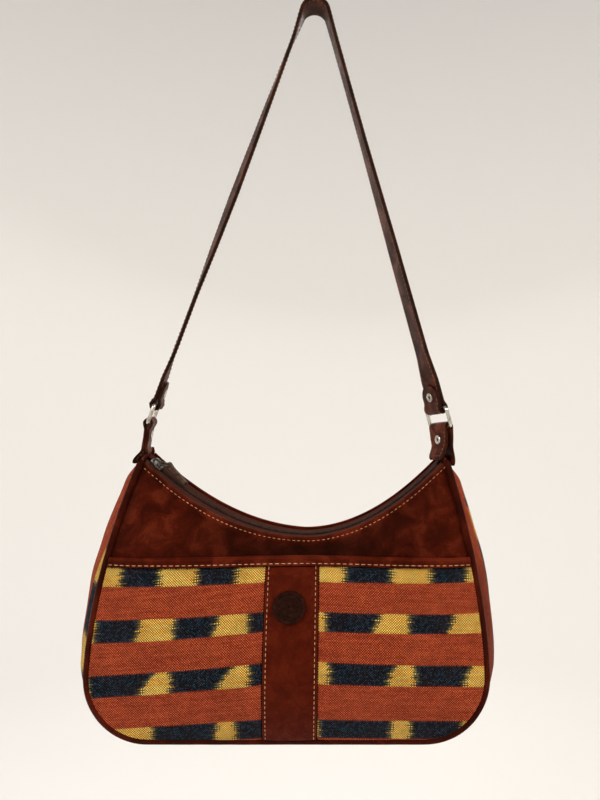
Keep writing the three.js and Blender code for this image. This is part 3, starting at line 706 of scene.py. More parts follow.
# Piping
# Two round leather welts, each a narrow strip folded over a cord, sewn into the outline seams in front of
# and behind the gusset.
PIPING_FIT = 0.97
PIPING_SIDES = 18
PIPING_UNEVEN = 0.035
PIPING_UNEVEN_LENGTH = 0.014
PIPING_CLOSING = 0.0012
PIPING_BLUNT = 0.1
PIPING_WEAR = 0.35
PIPING_LEATHER = leather(
    "piping_leather",
    dark=colour(36, 7, 3),
    middle=colour(54, 12, 5),
    light=colour(76, 23, 9),
    roughness=0.45,
)


def tube_rings(path, first, second, radius, sides):
    """Rings round a path, with two directions across it at each point."""
    angle = np.arange(sides) * 2 * np.pi / sides
    lift = np.cos(angle)[None, :, None] * first[:, None] + np.sin(angle)[None, :, None] * second[:, None]
    return path[:, None] + np.reshape(radius, (-1, 1, 1)) * lift


for name, sign, back in (("piping_front", -1, 0), ("piping_back", 1, 1)):
    path = seam_point(seam_u, seam_z, sign * seam_depth(seam_z), back)
    to_back = np.broadcast_to([0.0, 1.0, 0.0], path.shape)
    uneven = 1 + PIPING_UNEVEN * ripple(seam_length, 0 * seam_length, PIPING_UNEVEN_LENGTH, sign + 2.5)
    from_end = np.minimum(seam_length, seam_length[-1] - seam_length)
    closing = np.minimum(1, np.sqrt(from_end / PIPING_CLOSING + PIPING_BLUNT))
    rings = tube_rings(path, seam_out, to_back, PIPING_FIT * PIPING_R * uneven * closing, PIPING_SIDES)
    facing = np.cos(np.arange(PIPING_SIDES) * 2 * np.pi / PIPING_SIDES)[None, :]
    welt = ring_piece(f"{name}_welt", rings, PIPING_LEATHER, wear=PIPING_WEAR * smooth(facing, 0.5, 1.0))
    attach(welt, "bag")
    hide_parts(name)


# Front pocket cloth
# Two panels of the same ikat, left and right of the leather strip, sewn flat over the front panel. Their
# weft runs across, so the dyed bands lie level on the right and rise to the middle on the left.
MOUTH_Z = -0.438
BINDING_HEIGHT = 0.0072
GAPE = 0.0012
GAPE_HALF = 0.110
GAPE_DROP = 0.060
POCKET_GAP = 0.0006
POCKET_COLUMNS = 91
POCKET_ROWS = 84
POCKET_CROWDING = 1.25
POCKET_RIPPLE = 0.00045
POCKET_PATCH = 0.026
SEWN_WIDTH = 0.006
SEWN_SINK = 0.0004
SEAM_GAP = 0.0003
STRIP_U = 0.0025
STRIP_HALF = 0.0202
POCKET_BASE = BOTTOM_Z + SEAM_INSET
POCKET_TOP = MOUTH_Z - BINDING_HEIGHT - SEAM_GAP
# Rows are heights of a band's upper and lower edge at the panel's left and right ends, its dark blocks from
# edge to edge, all in metres, and how far the blocks' right ends lean out for each metre up.
LEFT_BANDS = [
    {
        "left": (-0.4440, -0.4595),
        "right": (-0.4440, -0.4558),
        "navy": [(-0.125, -0.100), (-0.067, -0.042)],
        "lean": 0.0,
    },
    {
        "left": (-0.4848, -0.5010),
        "right": (-0.4765, -0.4890),
        "navy": [(-0.143, -0.1135), (-0.082, -0.0555), (-0.0267, 0.0)],
        "lean": 0.32,
    },
    {
        "left": (-0.5255, -0.5411),
        "right": (-0.5111, -0.5262),
        "navy": [(-0.146, -0.1065), (-0.083, -0.0485), (-0.0246, 0.0)],
        "lean": 0.75,
    },
    {
        "left": (-0.5663, -0.5800),
        "right": (-0.5533, -0.5690),
        "navy": [(-0.0967, -0.0546), (-0.035, 0.0)],
        "lean": 0.1,
    },
]
RIGHT_BANDS = [
    {
        "left": (-0.4440, -0.4559),
        "right": (-0.4440, -0.4559),
        "navy": [(0.0447, 0.0757), (0.1095, 0.1327)],
        "lean": 0.0,
    },
    {
        "left": (-0.4767, -0.4891),
        "right": (-0.4795, -0.4930),
        "navy": [(0.0307, 0.0641), (0.0930, 0.1205)],
        "lean": 0.45,
    },
    {
        "left": (-0.5103, -0.5253),
        "right": (-0.5175, -0.5321),
        "navy": [(0.0338, 0.0744), (0.0978, 0.1321)],
        "lean": 0.35,
    },
    {
        "left": (-0.5533, -0.5687),
        "right": (-0.5589, -0.5715),
        "navy": [(0.0261, 0.0753), (0.0950, 0.1279)],
        "lean": 0.1,
    },
]
# Each panel, with the places across the bag where its bands' heights are given.
POCKET_PANELS = [
    {"name": "left", "sign": -1, "bands": LEFT_BANDS, "ends": (-0.148, -0.018)},
    {"name": "right", "sign": 1, "bands": RIGHT_BANDS, "ends": (0.023, 0.147)},
]


def pocket_depth(u, z):
    """How far the pocket's inner face stands off the bag's middle plane: its mouth gapes a little."""
    loose = GAPE * np.clip(1 - (u / GAPE_HALF) ** 2, 0, None) * smooth(z, MOUTH_Z - GAPE_DROP, MOUTH_Z)
    return panel_depth(u, z, FRONT_BELLY, 0) + POCKET_GAP + loose


def inside(value, low, high):
    """How far inside a stretch a value is, and how far outside it as a minus."""
    return np.minimum(value - low, high - value)


for panel in POCKET_PANELS:
    sign, bands, ends = panel["sign"], panel["bands"], panel["ends"]
    share = np.linspace(0, 1, POCKET_COLUMNS)[:, None]
    grid_z = mix(POCKET_BASE, POCKET_TOP, np.linspace(0, 1, POCKET_ROWS)[None, :] ** POCKET_CROWDING)
    near = STRIP_U + sign * (STRIP_HALF + SEAM_GAP)
    far = sign * half_width(grid_z, SEAM_INSET)
    grid_u = mix(near, far, share) if sign > 0 else mix(far, near, share)
    grid_z = np.broadcast_to(grid_z, grid_u.shape)
    sewn = smooth(np.abs(grid_u - near), 0.0, SEWN_WIDTH) * smooth(POCKET_TOP - grid_z, 0.0, SEWN_WIDTH)
    uneven = POCKET_RIPPLE * ripple(grid_u, grid_z, POCKET_PATCH, 11.0 + sign) - SEWN_SINK * (1 - sewn)
    grid = place(grid_u, -(pocket_depth(grid_u, grid_z) + CLOTH + uneven), grid_z)
    rings, columns, rows = thick_sheet(grid, CLOTH)
    level = (grid_u - ends[0]) / (ends[1] - ends[0])
    found = []
    blocks = []
    for row in bands:
        upper = mix(row["left"][0], row["right"][0], level)
        lower = mix(row["left"][1], row["right"][1], level)
        found.append(inside(grid_z, lower, upper))
        lean = row["lean"] * (grid_z - (upper + lower) / 2)
        blocks.append(np.max([inside(grid_u, low, high + lean) for low, high in row["navy"]], axis=0))
    nearest = np.argmax(found, axis=0)[None]
    slope = (bands[2]["right"][0] - bands[2]["left"][0]) / (ends[1] - ends[0])
    pocket = ring_piece(
        f"pocket_ikat_{panel['name']}",
        rings,
        IKAT,
        weave=np.stack([grid_u, grid_z - slope * grid_u], axis=-1)[columns, rows],
        band=np.take_along_axis(np.array(found), nearest, 0)[0][columns, rows],
        navy=np.take_along_axis(np.array(blocks), nearest, 0)[0][columns, rows],
    )
    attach(pocket, "bag")
    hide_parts(f"pocket_cloth_{panel['name']}")


# Pocket strip
# A leather strip down the middle of the pocket that covers the two cloth panels' inner edges, sewn down
# close to both its edges.
STRIP_DEPTH = 0.0021
STRIP_SET = 0.0002
STRIP_THICK = STRIP_DEPTH - 0.0003
STRIP_STITCH = 0.0022
STRIP_CROWN = 0.0004
STRIP_RIPPLE = 0.00025
STRIP_PATCH = 0.020
STRIP_COLUMNS = 41
STRIP_ROWS = 66
STRIP_WEAR = 0.5
STRIP_WEAR_WIDTH = 0.0012
STRIP_LEATHER = leather(
    "strip_leather",
    dark=colour(60, 13, 4),
    middle=colour(70, 18, 6),
    light=colour(80, 24, 8),
    patch=0.010,
)


def strip_face(u, z):
    edge = np.abs(np.abs(u - STRIP_U) - (STRIP_HALF - STRIP_STITCH))
    groove = GROOVE_DEEP * np.exp(-((edge / GROOVE_HALF) ** 2))
    crown = STRIP_CROWN * np.clip(1 - ((u - STRIP_U) / STRIP_HALF) ** 2, 0, 1)
    uneven = STRIP_RIPPLE * ripple(u, z, STRIP_PATCH, seed=17.3)
    return place(u, -(pocket_depth(u, z) + STRIP_DEPTH - STRIP_SET + crown + uneven - groove), z)


grid_u = STRIP_U + STRIP_HALF * np.linspace(-1, 1, STRIP_COLUMNS)[:, None]
grid_z = mix(POCKET_BASE, POCKET_TOP, np.linspace(0, 1, STRIP_ROWS)[None, :])
rings, columns, rows = thick_sheet(strip_face(grid_u, grid_z), STRIP_THICK)
worn = STRIP_WEAR * smooth(np.abs(grid_u - STRIP_U), STRIP_HALF - STRIP_WEAR_WIDTH, STRIP_HALF)
strip = ring_piece("pocket_strip_leather", rings, STRIP_LEATHER, wear=worn[columns[:, 0]])
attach(strip, "bag")
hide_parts("pocket_strip")


# Pocket binding
# A leather band folded over the pocket's mouth from seam to seam, with a round lip, sewn through along
# its lower edge.
BINDING_DEPTH = 0.0034
BINDING_SET = 0.0004
BINDING_COLUMNS = 141
BINDING_ROWS = 11
BINDING_GROOVE = 0.00035
BINDING_PAD = 0.0003
# Shares of the binding's height: where its groove and its padded part are.
GROOVE_RISE = 0.24
GROOVE_SPREAD = 0.13
PAD_RISE = (0.3, 0.75)
FOOT_GAP = 0.0002
BACK_GAP = 0.0001
LIP_R = 0.0016
LIP_POINTS = 9
LIP_ARC = (20, 160)
LIP_UNEVEN = 0.0003
LIP_UNEVEN_LENGTH = 0.012
LIP_WEAR = 0.5


def binding_face(u, z):
    rise = (z - (MOUTH_Z - BINDING_HEIGHT)) / BINDING_HEIGHT
    groove = BINDING_GROOVE * np.exp(-(((rise - GROOVE_RISE) / GROOVE_SPREAD) ** 2))
    pad = BINDING_PAD * smooth(rise, *PAD_RISE)
    return place(u, -(pocket_depth(u, z) + BINDING_DEPTH - BINDING_SET + pad - groove), z)


foot_z = MOUTH_Z - BINDING_HEIGHT
span = np.linspace(-1, 1, BINDING_COLUMNS)[:, None]
front_z = np.linspace(foot_z + FOOT_GAP, MOUTH_Z - LIP_R, BINDING_ROWS)[None, :]
front_u = span * half_width(front_z, SEAM_INSET)
lip_turn = np.radians(np.linspace(*LIP_ARC, LIP_POINTS))[None, :]
lip_z = MOUTH_Z - LIP_R + LIP_R * np.sin(lip_turn)
lip_u = span * half_width(lip_z, SEAM_INSET)
uneven = LIP_UNEVEN * ripple(lip_u, 0 * lip_u, LIP_UNEVEN_LENGTH, seed=4.4)
lip_reach = (BINDING_DEPTH / 2 - BACK_GAP) * np.cos(lip_turn)
lip_out = pocket_depth(lip_u, lip_z) + BINDING_DEPTH / 2 + lip_reach
back_z = front_z[:, ::-1]
back_u = span * half_width(back_z, SEAM_INSET)
rings = np.concatenate(
    [
        binding_face(front_u, front_z),
        place(lip_u, -lip_out, lip_z + uneven),
        place(back_u, -(pocket_depth(back_u, back_z) + BACK_GAP), back_z),
    ],
    axis=1,
)
rings = np.concatenate([rings, rings[:, -1:]], axis=1)
front_wear = np.concatenate([np.zeros(BINDING_ROWS - 2), [LIP_WEAR / 2, LIP_WEAR]])
lip_wear = np.concatenate([front_wear, np.full(LIP_POINTS, LIP_WEAR), np.zeros(BINDING_ROWS + 1)])
binding = ring_piece("pocket_binding_leather", rings, BODY_LEATHER, wear=lip_wear[None, :])
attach(binding, "bag")
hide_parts("pocket_binding")


# Stitching of the body
# Pale waxed thread in running stitches: along both turned zip edges, along the binding's foot and down
# both edges of the strip. Each stitch dips into the leather at its ends.
THREAD_SIDES = 6
ZIP_SEAM_U = (-0.1175, 0.1165)
ZIP_SEAM_POINTS = 120
MOUTH_SEAM_END = 0.0028
MOUTH_SEAM_RISE = 0.0018
MOUTH_SEAM_POINTS = 140
STRIP_SEAM_ENDS = (0.002, 0.001)
STRIP_SEAM_POINTS = 90


def lay_wires(tree, given, bend, radius, spin=None, scale=(1.0, 1.0, 1.0)):
    """Short bent wires at equal steps along the lines, as a painted mesh. A wire's x runs along its line,
    and its z along the direction face that the line's points hold."""
    curve = add_node(tree, "GeometryNodeMeshToCurve", {"Mesh": given["Lines"]}).outputs[0]
    spacing = {"Curve": curve, "Length": given["Pitch"]}
    spaced = add_node(tree, "GeometryNodeResampleCurve", spacing, mode="LENGTH").outputs[0]
    arch = add_node(tree, "GeometryNodeCurveQuadraticBezier", bend).outputs[0]
    circle = {"Resolution": THREAD_SIDES, "Radius": radius}
    ring = add_node(tree, "GeometryNodeCurvePrimitiveCircle", circle).outputs[0]
    sweep = {"Curve": arch, "Profile Curve": ring, "Fill Caps": True}
    wire = add_node(tree, "GeometryNodeCurveToMesh", sweep).outputs[0]
    face = add_node(tree, "GeometryNodeInputNamedAttribute", {"Name": "face"}, data_type="FLOAT_VECTOR")
    up = add_node(tree, "FunctionNodeAlignRotationToVector", {"Vector": face.outputs[0]}, axis="Z")
    along = add_node(tree, "GeometryNodeInputTangent").outputs[0]
    lie = {"Rotation": up.outputs[0], "Vector": along}
    laid = add_node(tree, "FunctionNodeAlignRotationToVector", lie, axis="X", pivot_axis="Z").outputs[0]
    if spin is not None:
        turn = {"Rotation": laid, "Rotate By": spin}
        laid = add_node(tree, "FunctionNodeRotateRotation", turn, rotation_space="LOCAL").outputs[0]
    put = {"Points": spaced, "Instance": wire, "Rotation": laid, "Scale": scale}
    copies = add_node(tree, "GeometryNodeInstanceOnPoints", put).outputs[0]
    real = add_node(tree, "GeometryNodeRealizeInstances", {0: copies}).outputs[0]
    soft = add_node(tree, "GeometryNodeSetShadeSmooth", {0: real}).outputs[0]
    paint = {"Geometry": soft, "Material": given["Material"]}
    return add_node(tree, "GeometryNodeSetMaterial", paint).outputs[0]


def sewn_line():
    """A tree of stitches along lines, each a little different from the next."""
    tree, given, made = node_group(
        "sewn_line",
        "GeometryNodeTree",
        [
            ("Lines", "NodeSocketGeometry", None),
            ("Pitch", "NodeSocketFloat", 0.0036),
            ("Stitch", "NodeSocketFloat", 0.0028),
            ("Thread Radius", "NodeSocketFloat", 0.0003),
            ("Rise", "NodeSocketFloat", 0.0009),
            ("Sink", "NodeSocketFloat", 0.0004),
            ("Seed", "NodeSocketInt", 1),
            ("Material", "NodeSocketMaterial", None),
        ],
        [("Stitches", "NodeSocketGeometry")],
    )
    half = calc(tree, "MULTIPLY", given["Stitch"], 0.5)
    back = calc(tree, "MULTIPLY", given["Stitch"], -0.5)
    below = calc(tree, "MULTIPLY", given["Sink"], -1.0)
    bend = {
        "Resolution": 5,
        "Start": vector(tree, {0: back, 2: below}),
        "Middle": vector(tree, {2: given["Rise"]}),
        "End": vector(tree, {0: half, 2: below}),
    }
    loose = {"Min": (0.9, 0.85, 0.85), "Max": (1.06, 1.15, 1.15), "Seed": given["Seed"]}
    vary = add_node(tree, "FunctionNodeRandomValue", loose, data_type="FLOAT_VECTOR").outputs[0]
    stitches = lay_wires(tree, given, bend, given["Thread Radius"], scale=vary)
    tree.links.new(stitches, made["Stitches"])
    return tree


SEWN_LINE = sewn_line()


def run_tree(name, tree, lines, values):
    """Lays a tree along lines, each of points and outward directions, and keeps it as a plain mesh."""
    mesh = bpy.data.meshes.new(name)
    points = np.concatenate([line[0] for line in lines])
    starts = np.cumsum([0] + [len(line[0]) for line in lines[:-1]])
    edges = []
    for start, line in zip(starts, lines):
        edges += [(k, k + 1) for k in range(start, start + len(line[0]) - 1)]
    mesh.from_pydata(points.tolist(), edges, [])
    face = mesh.attributes.new("face", "FLOAT_VECTOR", "POINT")
    face.data.foreach_set("vector", np.concatenate([line[1] for line in lines]).ravel().astype(np.float32))
    made = bpy.data.objects.new(name, mesh)
    bpy.context.scene.collection.objects.link(made)
    modifier = made.modifiers.new("lay", "NODES")
    modifier.node_group = tree
    for item in tree.interface.items_tree:
        if item.in_out == "INPUT" and item.name in values:
            modifier[item.identifier] = values[item.name]
    evaluated = made.evaluated_get(bpy.context.evaluated_depsgraph_get())
    plain = bpy.data.meshes.new_from_object(evaluated)
    made.modifiers.clear()
    made.data = plain
    return made


def on_face(face, u, z):
    """Points on a face and the directions out of it there."""
    step = 2e-4
    point = face(u, z)
    wide = face(u + step, z) - face(u - step, z)
    tall = face(u, z + step) - face(u, z - step)
    return point, unit(np.cross(wide, tall))


def thread_material(name, dark, light):
    """Twisted waxed thread, darker between its turns."""
    material, tree, surface = new_material(name, {"Roughness": 0.7, "Specular IOR Level": 0.2})
    strands = mottle(tree, own_place(tree), scale=1500.0, detail=1.0)
    tone = blend_colour(tree, remap(tree, strands, 0.3, 0.7), dark, light)
    tree.links.new(tone, surface.inputs["Base Color"])
    emboss(tree, surface, strands, distance=0.0001, strength=0.6)
    return material


PALE_THREAD = thread_material("pale_thread", dark=colour(164, 110, 76), light=colour(220, 170, 132))


def edge_line(face, back):
    """The line of stitches a little below a zip edge."""
    u = np.linspace(*ZIP_SEAM_U, ZIP_SEAM_POINTS)
    slope = np.gradient(rim(u, back), u)
    lean = np.sqrt(1 + slope**2)
    return on_face(face, u + STITCH_INSET * slope / lean, rim(u, back) - STITCH_INSET / lean)


front_seam = edge_line(front_face, 0)
back_points, back_normals = edge_line(back_face, 1)
zip_stitches = run_tree(
    "zip_edge_stitching",
    SEWN_LINE,
    [front_seam, (back_points, -back_normals)],
    {"Pitch": 0.0039, "Stitch": 0.0025, "Thread Radius": 0.0002, "Material": PALE_THREAD},
)
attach(zip_stitches, "bag")

mouth_half = float(half_width(np.array(foot_z), SEAM_INSET)) - MOUTH_SEAM_END
mouth_u = np.linspace(-mouth_half, mouth_half, MOUTH_SEAM_POINTS)
mouth_line = on_face(binding_face, mouth_u, np.full_like(mouth_u, foot_z + MOUTH_SEAM_RISE))
mouth_stitches = run_tree(
    "pocket_mouth_stitching",
    SEWN_LINE,
    [mouth_line],
    {"Pitch": 0.0047, "Stitch": 0.0035, "Thread Radius": 0.00025, "Seed": 2, "Material": PALE_THREAD},
)
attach(mouth_stitches, "bag")

strip_low, strip_high = POCKET_BASE + STRIP_SEAM_ENDS[0], POCKET_TOP - STRIP_SEAM_ENDS[1]
strip_z = np.linspace(strip_low, strip_high, STRIP_SEAM_POINTS)
strip_lines = []
for side in (-1, 1):
    strip_u = np.full_like(strip_z, STRIP_U + side * (STRIP_HALF - STRIP_STITCH))
    strip_lines.append(on_face(strip_face, strip_u, strip_z))
strip_stitches = run_tree(
    "pocket_strip_stitching",
    SEWN_LINE,
    strip_lines,
    {"Pitch": 0.0038, "Stitch": 0.0027, "Thread Radius": 0.00023, "Seed": 3, "Material": PALE_THREAD},
)
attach(strip_stitches, "bag")


# Badge
# A dark oval of pressed leather with a raised rim and a plain pebbled middle, glued to the strip.
BADGE_U = 0.001
BADGE_Z = -0.4725
BADGE_HALF = 0.0125
BADGE_OVAL = 0.9
BADGE_LIFT = 0.0006
# Rows run from the middle of the back over the edge to the middle of the front: share of the half-width,
# and height above the strip.
BADGE_PROFILE = [
    {"out": 0.02, "rise": 0.0},
    {"out": 0.93, "rise": 0.0},
    {"out": 0.985, "rise": 0.0004},
    {"out": 1.0, "rise": 0.0011},
    {"out": 0.985, "rise": 0.0019},
    {"out": 0.945, "rise": 0.00238},
    {"out": 0.90, "rise": 0.00248},
    {"out": 0.855, "rise": 0.00228},
    {"out": 0.825, "rise": 0.00175},
    {"out": 0.79, "rise": 0.00158},
    {"out": 0.74, "rise": 0.00178},
    {"out": 0.71, "rise": 0.00195},
    {"out": 0.68, "rise": 0.00180},
    {"out": 0.60, "rise": 0.00190},
    {"out": 0.45, "rise": 0.00225},
    {"out": 0.25, "rise": 0.00252},
    {"out": 0.02, "rise": 0.00262},
]
BADGE_STEPS = 72
# The rim's twisted rope and the wear on it: its place as a share of the half-width, and its spread there.
RIM_OUT = 0.90
RIM_RISE = 0.001
ROPE_DEEP = 0.00014
ROPE_TURNS = 26
ROPE_SPREAD = 0.05
ROPE_WEAR = 0.8
ROPE_WEAR_SPREAD = 0.06
BADGE_LEATHER = leather(
    "badge_leather",
    dark=colour(15, 4, 3),
    middle=colour(25, 7, 5),
    light=colour(42, 15, 10),
    roughness=0.42,
    pebble=0.0009,
    patch=0.003,
    relief=0.0002,
    shine=0.1,
)

turn = np.arange(BADGE_STEPS)[:, None] * 2 * np.pi / BADGE_STEPS
out = np.array([row["out"] for row in BADGE_PROFILE])[None, :]
rise = np.array([row["rise"] for row in BADGE_PROFILE])[None, :]
raised = rise > RIM_RISE
rope = ROPE_DEEP * np.cos(ROPE_TURNS * turn) * np.exp(-(((out - RIM_OUT) / ROPE_SPREAD) ** 2)) * raised
badge_u = BADGE_U + BADGE_HALF * out * np.cos(turn)
badge_z = BADGE_Z + BADGE_HALF * BADGE_OVAL * out * np.sin(turn)
lie = pocket_depth(badge_u, badge_z) + STRIP_DEPTH + BADGE_LIFT + rise + rope
worn = ROPE_WEAR * np.exp(-(((out - RIM_OUT) / ROPE_WEAR_SPREAD) ** 2)) * raised
rings = place(badge_u, -lie, badge_z)
badge = ring_piece("badge_leather", rings, BADGE_LEATHER, closed=True, wear=worn)
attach(badge, "bag")
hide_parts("badge")


# Zip
# Two strips of brown woven tape between the leather edges, with a dark nylon coil sewn along their inner
# edges. The zip follows the scoop and tilts to the front.
ZIP_DROP = 0.002
ZIP_END_U = 0.1182
TAPE = 0.0008
TAPE_OUTER = TOP_HALF - LEATHER - 0.0003
TAPE_THREAD = 0.0005
TAPE_TONES = (colour(56, 26, 16), colour(86, 46, 31))
TAPE_GAP_TONE = colour(26, 12, 8)
TAPE_GAP_SHADE = 0.6
TAPE_COLUMNS = 121
TAPE_ROWS = 9
RIDGE_HEIGHT = 0.0003
RIDGE_OUT = 0.0012
RIDGE_HALF = 0.0007
COIL_HALF = 0.003
COIL_LAP = 0.0006
COIL_PITCH = 0.00145
COIL_LIFT = 0.0001
COIL_TONES = (colour(24, 11, 8), colour(74, 44, 32))
TOOTH_LAP = 0.3
TOOTH_SINK = 0.0002
TOOTH_CROWN_Y = 0.001
COIL_POINTS = 160
COIL_START = 0.005
COIL_STOP = 0.003
SLIDER_U = -0.1115
SLIDER_LENGTH = 0.011


def zip_height(u, y):
    return rim(u, (y + TOP_HALF) / (2 * TOP_HALF)) - ZIP_DROP


def zip_face(u, y):
    return place(u, y, zip_height(u, y))


def tape_cloth():
    """Brown woven tape, darker between its threads."""
    finish = {"Roughness": 0.85, "Specular IOR Level": 0.06}
    material, tree, surface = new_material("zip_tape_cloth", finish)
    weave = woven(tree, TAPE_THREAD)
    tone = blend_colour(tree, weave["Thread"], *TAPE_TONES)
    gap = calc(tree, "MULTIPLY", weave["Recess"], TAPE_GAP_SHADE)
    tree.links.new(blend_colour(tree, gap, tone, TAPE_GAP_TONE), surface.inputs["Base Color"])
    emboss(tree, surface, weave["Height"], distance=0.0002, strength=1.0)
    return material


TAPE_CLOTH = tape_cloth()
tape_inner = COIL_HALF - COIL_LAP
for name, near, far in (("front", -TAPE_OUTER, -tape_inner), ("back", tape_inner, TAPE_OUTER)):
    zip_u = np.linspace(-ZIP_END_U, ZIP_END_U, TAPE_COLUMNS)[:, None]
    zip_y = np.linspace(near, far, TAPE_ROWS)[None, :]
    ridge = RIDGE_HEIGHT * np.exp(-(((np.abs(zip_y) - COIL_HALF - RIDGE_OUT) / RIDGE_HALF) ** 2))
    grid = zip_face(zip_u, zip_y) + np.array([0, 0, 1.0]) * ridge[..., None]
    rings, columns, rows = thick_sheet(grid, TAPE)
    weave = np.stack(np.broadcast_arrays(zip_u, zip_y), axis=-1)[columns, rows]
    tape = ring_piece(f"zip_tape_{name}_cloth", rings, TAPE_CLOTH, weave=weave)
    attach(tape, "bag")
    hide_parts(f"zip_tape_{name}")


def coil_teeth():
    """A tree of bent teeth along a line, which come from the left and from the right in turn."""
    tree, given, made = node_group(
        "coil_teeth",
        "GeometryNodeTree",
        [
            ("Lines", "NodeSocketGeometry", None),
            ("Pitch", "NodeSocketFloat", 0.0006),
            ("Reach", "NodeSocketFloat", 0.0028),
            ("Wire Radius", "NodeSocketFloat", 0.0004),
            ("Rise", "NodeSocketFloat", 0.0014),
            ("Material", "NodeSocketMaterial", None),
        ],
        [("Teeth", "NodeSocketGeometry")],
    )
    past = calc(tree, "MULTIPLY", given["Reach"], -TOOTH_LAP)
    bend = {
        "Resolution": 6,
        "Start": vector(tree, {1: given["Reach"], 2: -TOOTH_SINK}),
        "Middle": vector(tree, {1: TOOTH_CROWN_Y, 2: given["Rise"]}),
        "End": vector(tree, {1: past}),
    }
    number = add_node(tree, "GeometryNodeInputIndex").outputs[0]
    half_turn = calc(tree, "MULTIPLY", calc(tree, "MODULO", number, 2.0), math.pi)
    spin = add_node(tree, "FunctionNodeEulerToRotation", {0: vector(tree, {2: half_turn})}).outputs[0]
    teeth = lay_wires(tree, given, bend, given["Wire Radius"], spin=spin)
    tree.links.new(teeth, made["Teeth"])
    return tree


def coil_nylon():
    """Dark nylon, dusty in places."""
    material, tree, surface = new_material("coil_nylon", {"Specular IOR Level": 0.12})
    dust = mottle(tree, own_place(tree), scale=420.0, detail=3.0)
    tone = blend_colour(tree, remap(tree, dust, 0.35, 0.75), *COIL_TONES)
    tree.links.new(tone, surface.inputs["Base Color"])
    gloss = remap(tree, dust, 0.3, 0.7, to_low=0.6, to_high=0.8)
    tree.links.new(gloss, surface.inputs["Roughness"])
    return material


coil_u = np.linspace(SLIDER_U + COIL_START, ZIP_END_U - COIL_STOP, COIL_POINTS)
coil_at, coil_out = on_face(zip_face, coil_u, np.zeros_like(coil_u))
coil_sizes = {"Pitch": COIL_PITCH / 2, "Material": coil_nylon()}
coil = run_tree("zip_coil_teeth", coil_teeth(), [(coil_at + COIL_LIFT * coil_out, coil_out)], coil_sizes)
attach(coil, "bag")
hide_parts("zip_coil")


# Zip slider and pull
# A dull metal slider closed at the left end of the zip, with a bridge over its top. A wire loop turns under
# the bridge and holds a narrow leather pull, folded over the wire.
SLIDER_HALF = SLIDER_LENGTH / 2
SLIDER_SOFT = 0.00032
SLIDER_SOFT_ANGLE = 25
# The slider in its own frame: half of its plate's outline, the outline of the bridge over its top, and from
# where to where each block reaches.
PLATE_SIDE = [(-SLIDER_HALF, -0.0030), (-0.002, -0.0034), (0.001, -0.0046), (SLIDER_HALF, -0.0042)]
BRIDGE_OVER = [(-0.0042, 0.0014), (-0.0037, 0.0045), (-0.0025, 0.0055), (0.0026, 0.0055), (0.0036, 0.0045)]
BRIDGE_UNDER = [(0.004, 0.0014), (0.0028, 0.0014), (0.0023, 0.0043), (-0.0024, 0.0043), (-0.0029, 0.0014)]
PLATE_OVER_SPAN = (0.00045, 0.0016)
PLATE_UNDER_SPAN = (-0.0024, -0.00125)
WEB_SPAN = (-0.0013, 0.0005)
WEB_HALF = 0.0026
WEB_END = SLIDER_HALF - 0.0007
BRIDGE_HALF = 0.0011
HINGE_X = 0.0006
HINGE_Z = 0.00305
LOOP_LENGTH = 0.009
LOOP_HALF = 0.003
LOOP_CORNER = 0.0015
LOOP_WIRE_R = 0.0007
LOOP_LIFT = 32
PULL_DROP = 6
PULL_LENGTH = 0.021
PULL_WIDTH = 0.0036
PULL_THICK = 0.0012
PULL_SLACK = 0.00025
PULL_PINCH = 0.00072
PULL_CLOSING = 0.0045
PULL_BEND_DOWN = [0.0006, 0.0012, 0.0025]
PULL_STRAIGHT = (0.005, PULL_LENGTH - 0.0015)
PULL_STRAIGHT_STEPS = 12
PULL_TIP_UP = [0.0009, 0.0004, 0.0]
PULL_END = 0.0014
PULL_END_CURVE = 90000
TIP_SHADE = 0.9
TIP_REACH = (0.0255, 0.0285)
SCRATCH_SCALE = (900.0, 900.0, 120.0)
TO_BACK = np.array([0.0, 1.0, 0.0])

step = 0.001
zip_along = unit(zip_face(SLIDER_U + step, 0.0) - zip_face(SLIDER_U - step, 0.0))
zip_over = unit(zip_face(SLIDER_U, step) - zip_face(SLIDER_U, -step))
zip_out = unit(np.cross(zip_along, zip_over))
SLIDER_FRAME = np.stack([zip_along, np.cross(zip_out, zip_along), zip_out])
SLIDER_AT = zip_face(SLIDER_U, 0.0)


def from_slider(points):
    """Points from the slider's frame, x along the zip to the right, y to the back and z out of the zip."""
    return np.asarray(points) @ SLIDER_FRAME + SLIDER_AT


def metal(name, dark, light, roughness):
    """Plated metal with faint scratches and duller patches."""
    material, tree, surface = new_material(name, {"Metallic": 1.0})
    at = own_place(tree)
    dull = mottle(tree, at, scale=240.0, detail=3.0)
    tone = blend_colour(tree, remap(tree, dull, 0.35, 0.7), light, dark)
    tree.links.new(tone, surface.inputs["Base Color"])
    gloss = remap(tree, dull, 0.3, 0.7, to_low=roughness, to_high=roughness + 0.14)
    tree.links.new(gloss, surface.inputs["Roughness"])
    drawn_out = add_node(tree, "ShaderNodeMapping", {"Vector": at, "Scale": SCRATCH_SCALE}).outputs[0]
    emboss(tree, surface, mottle(tree, drawn_out, scale=2.0, detail=4.0), distance=0.00004, strength=0.5)
    return material


SLIDER_METAL = metal("slider_metal", dark=colour(52, 47, 42), light=colour(100, 93, 86), roughness=0.4)


def prism(outline, low, high, upright=False):
    """Corners and faces of a block with an outline, from one height to another, along z or, upright, y."""
    count = len(outline)
    if upright:
        corners = [(x, -y, z) for y in (low, high) for x, z in outline]
    else:
        corners = [(x, y, z) for z in (low, high) for x, y in outline]
    faces = [tuple(range(count))[::-1], tuple(range(count, 2 * count))]
    faces += [(k, (k + 1) % count, count + (k + 1) % count, count + k) for k in range(count)]
    return corners, faces


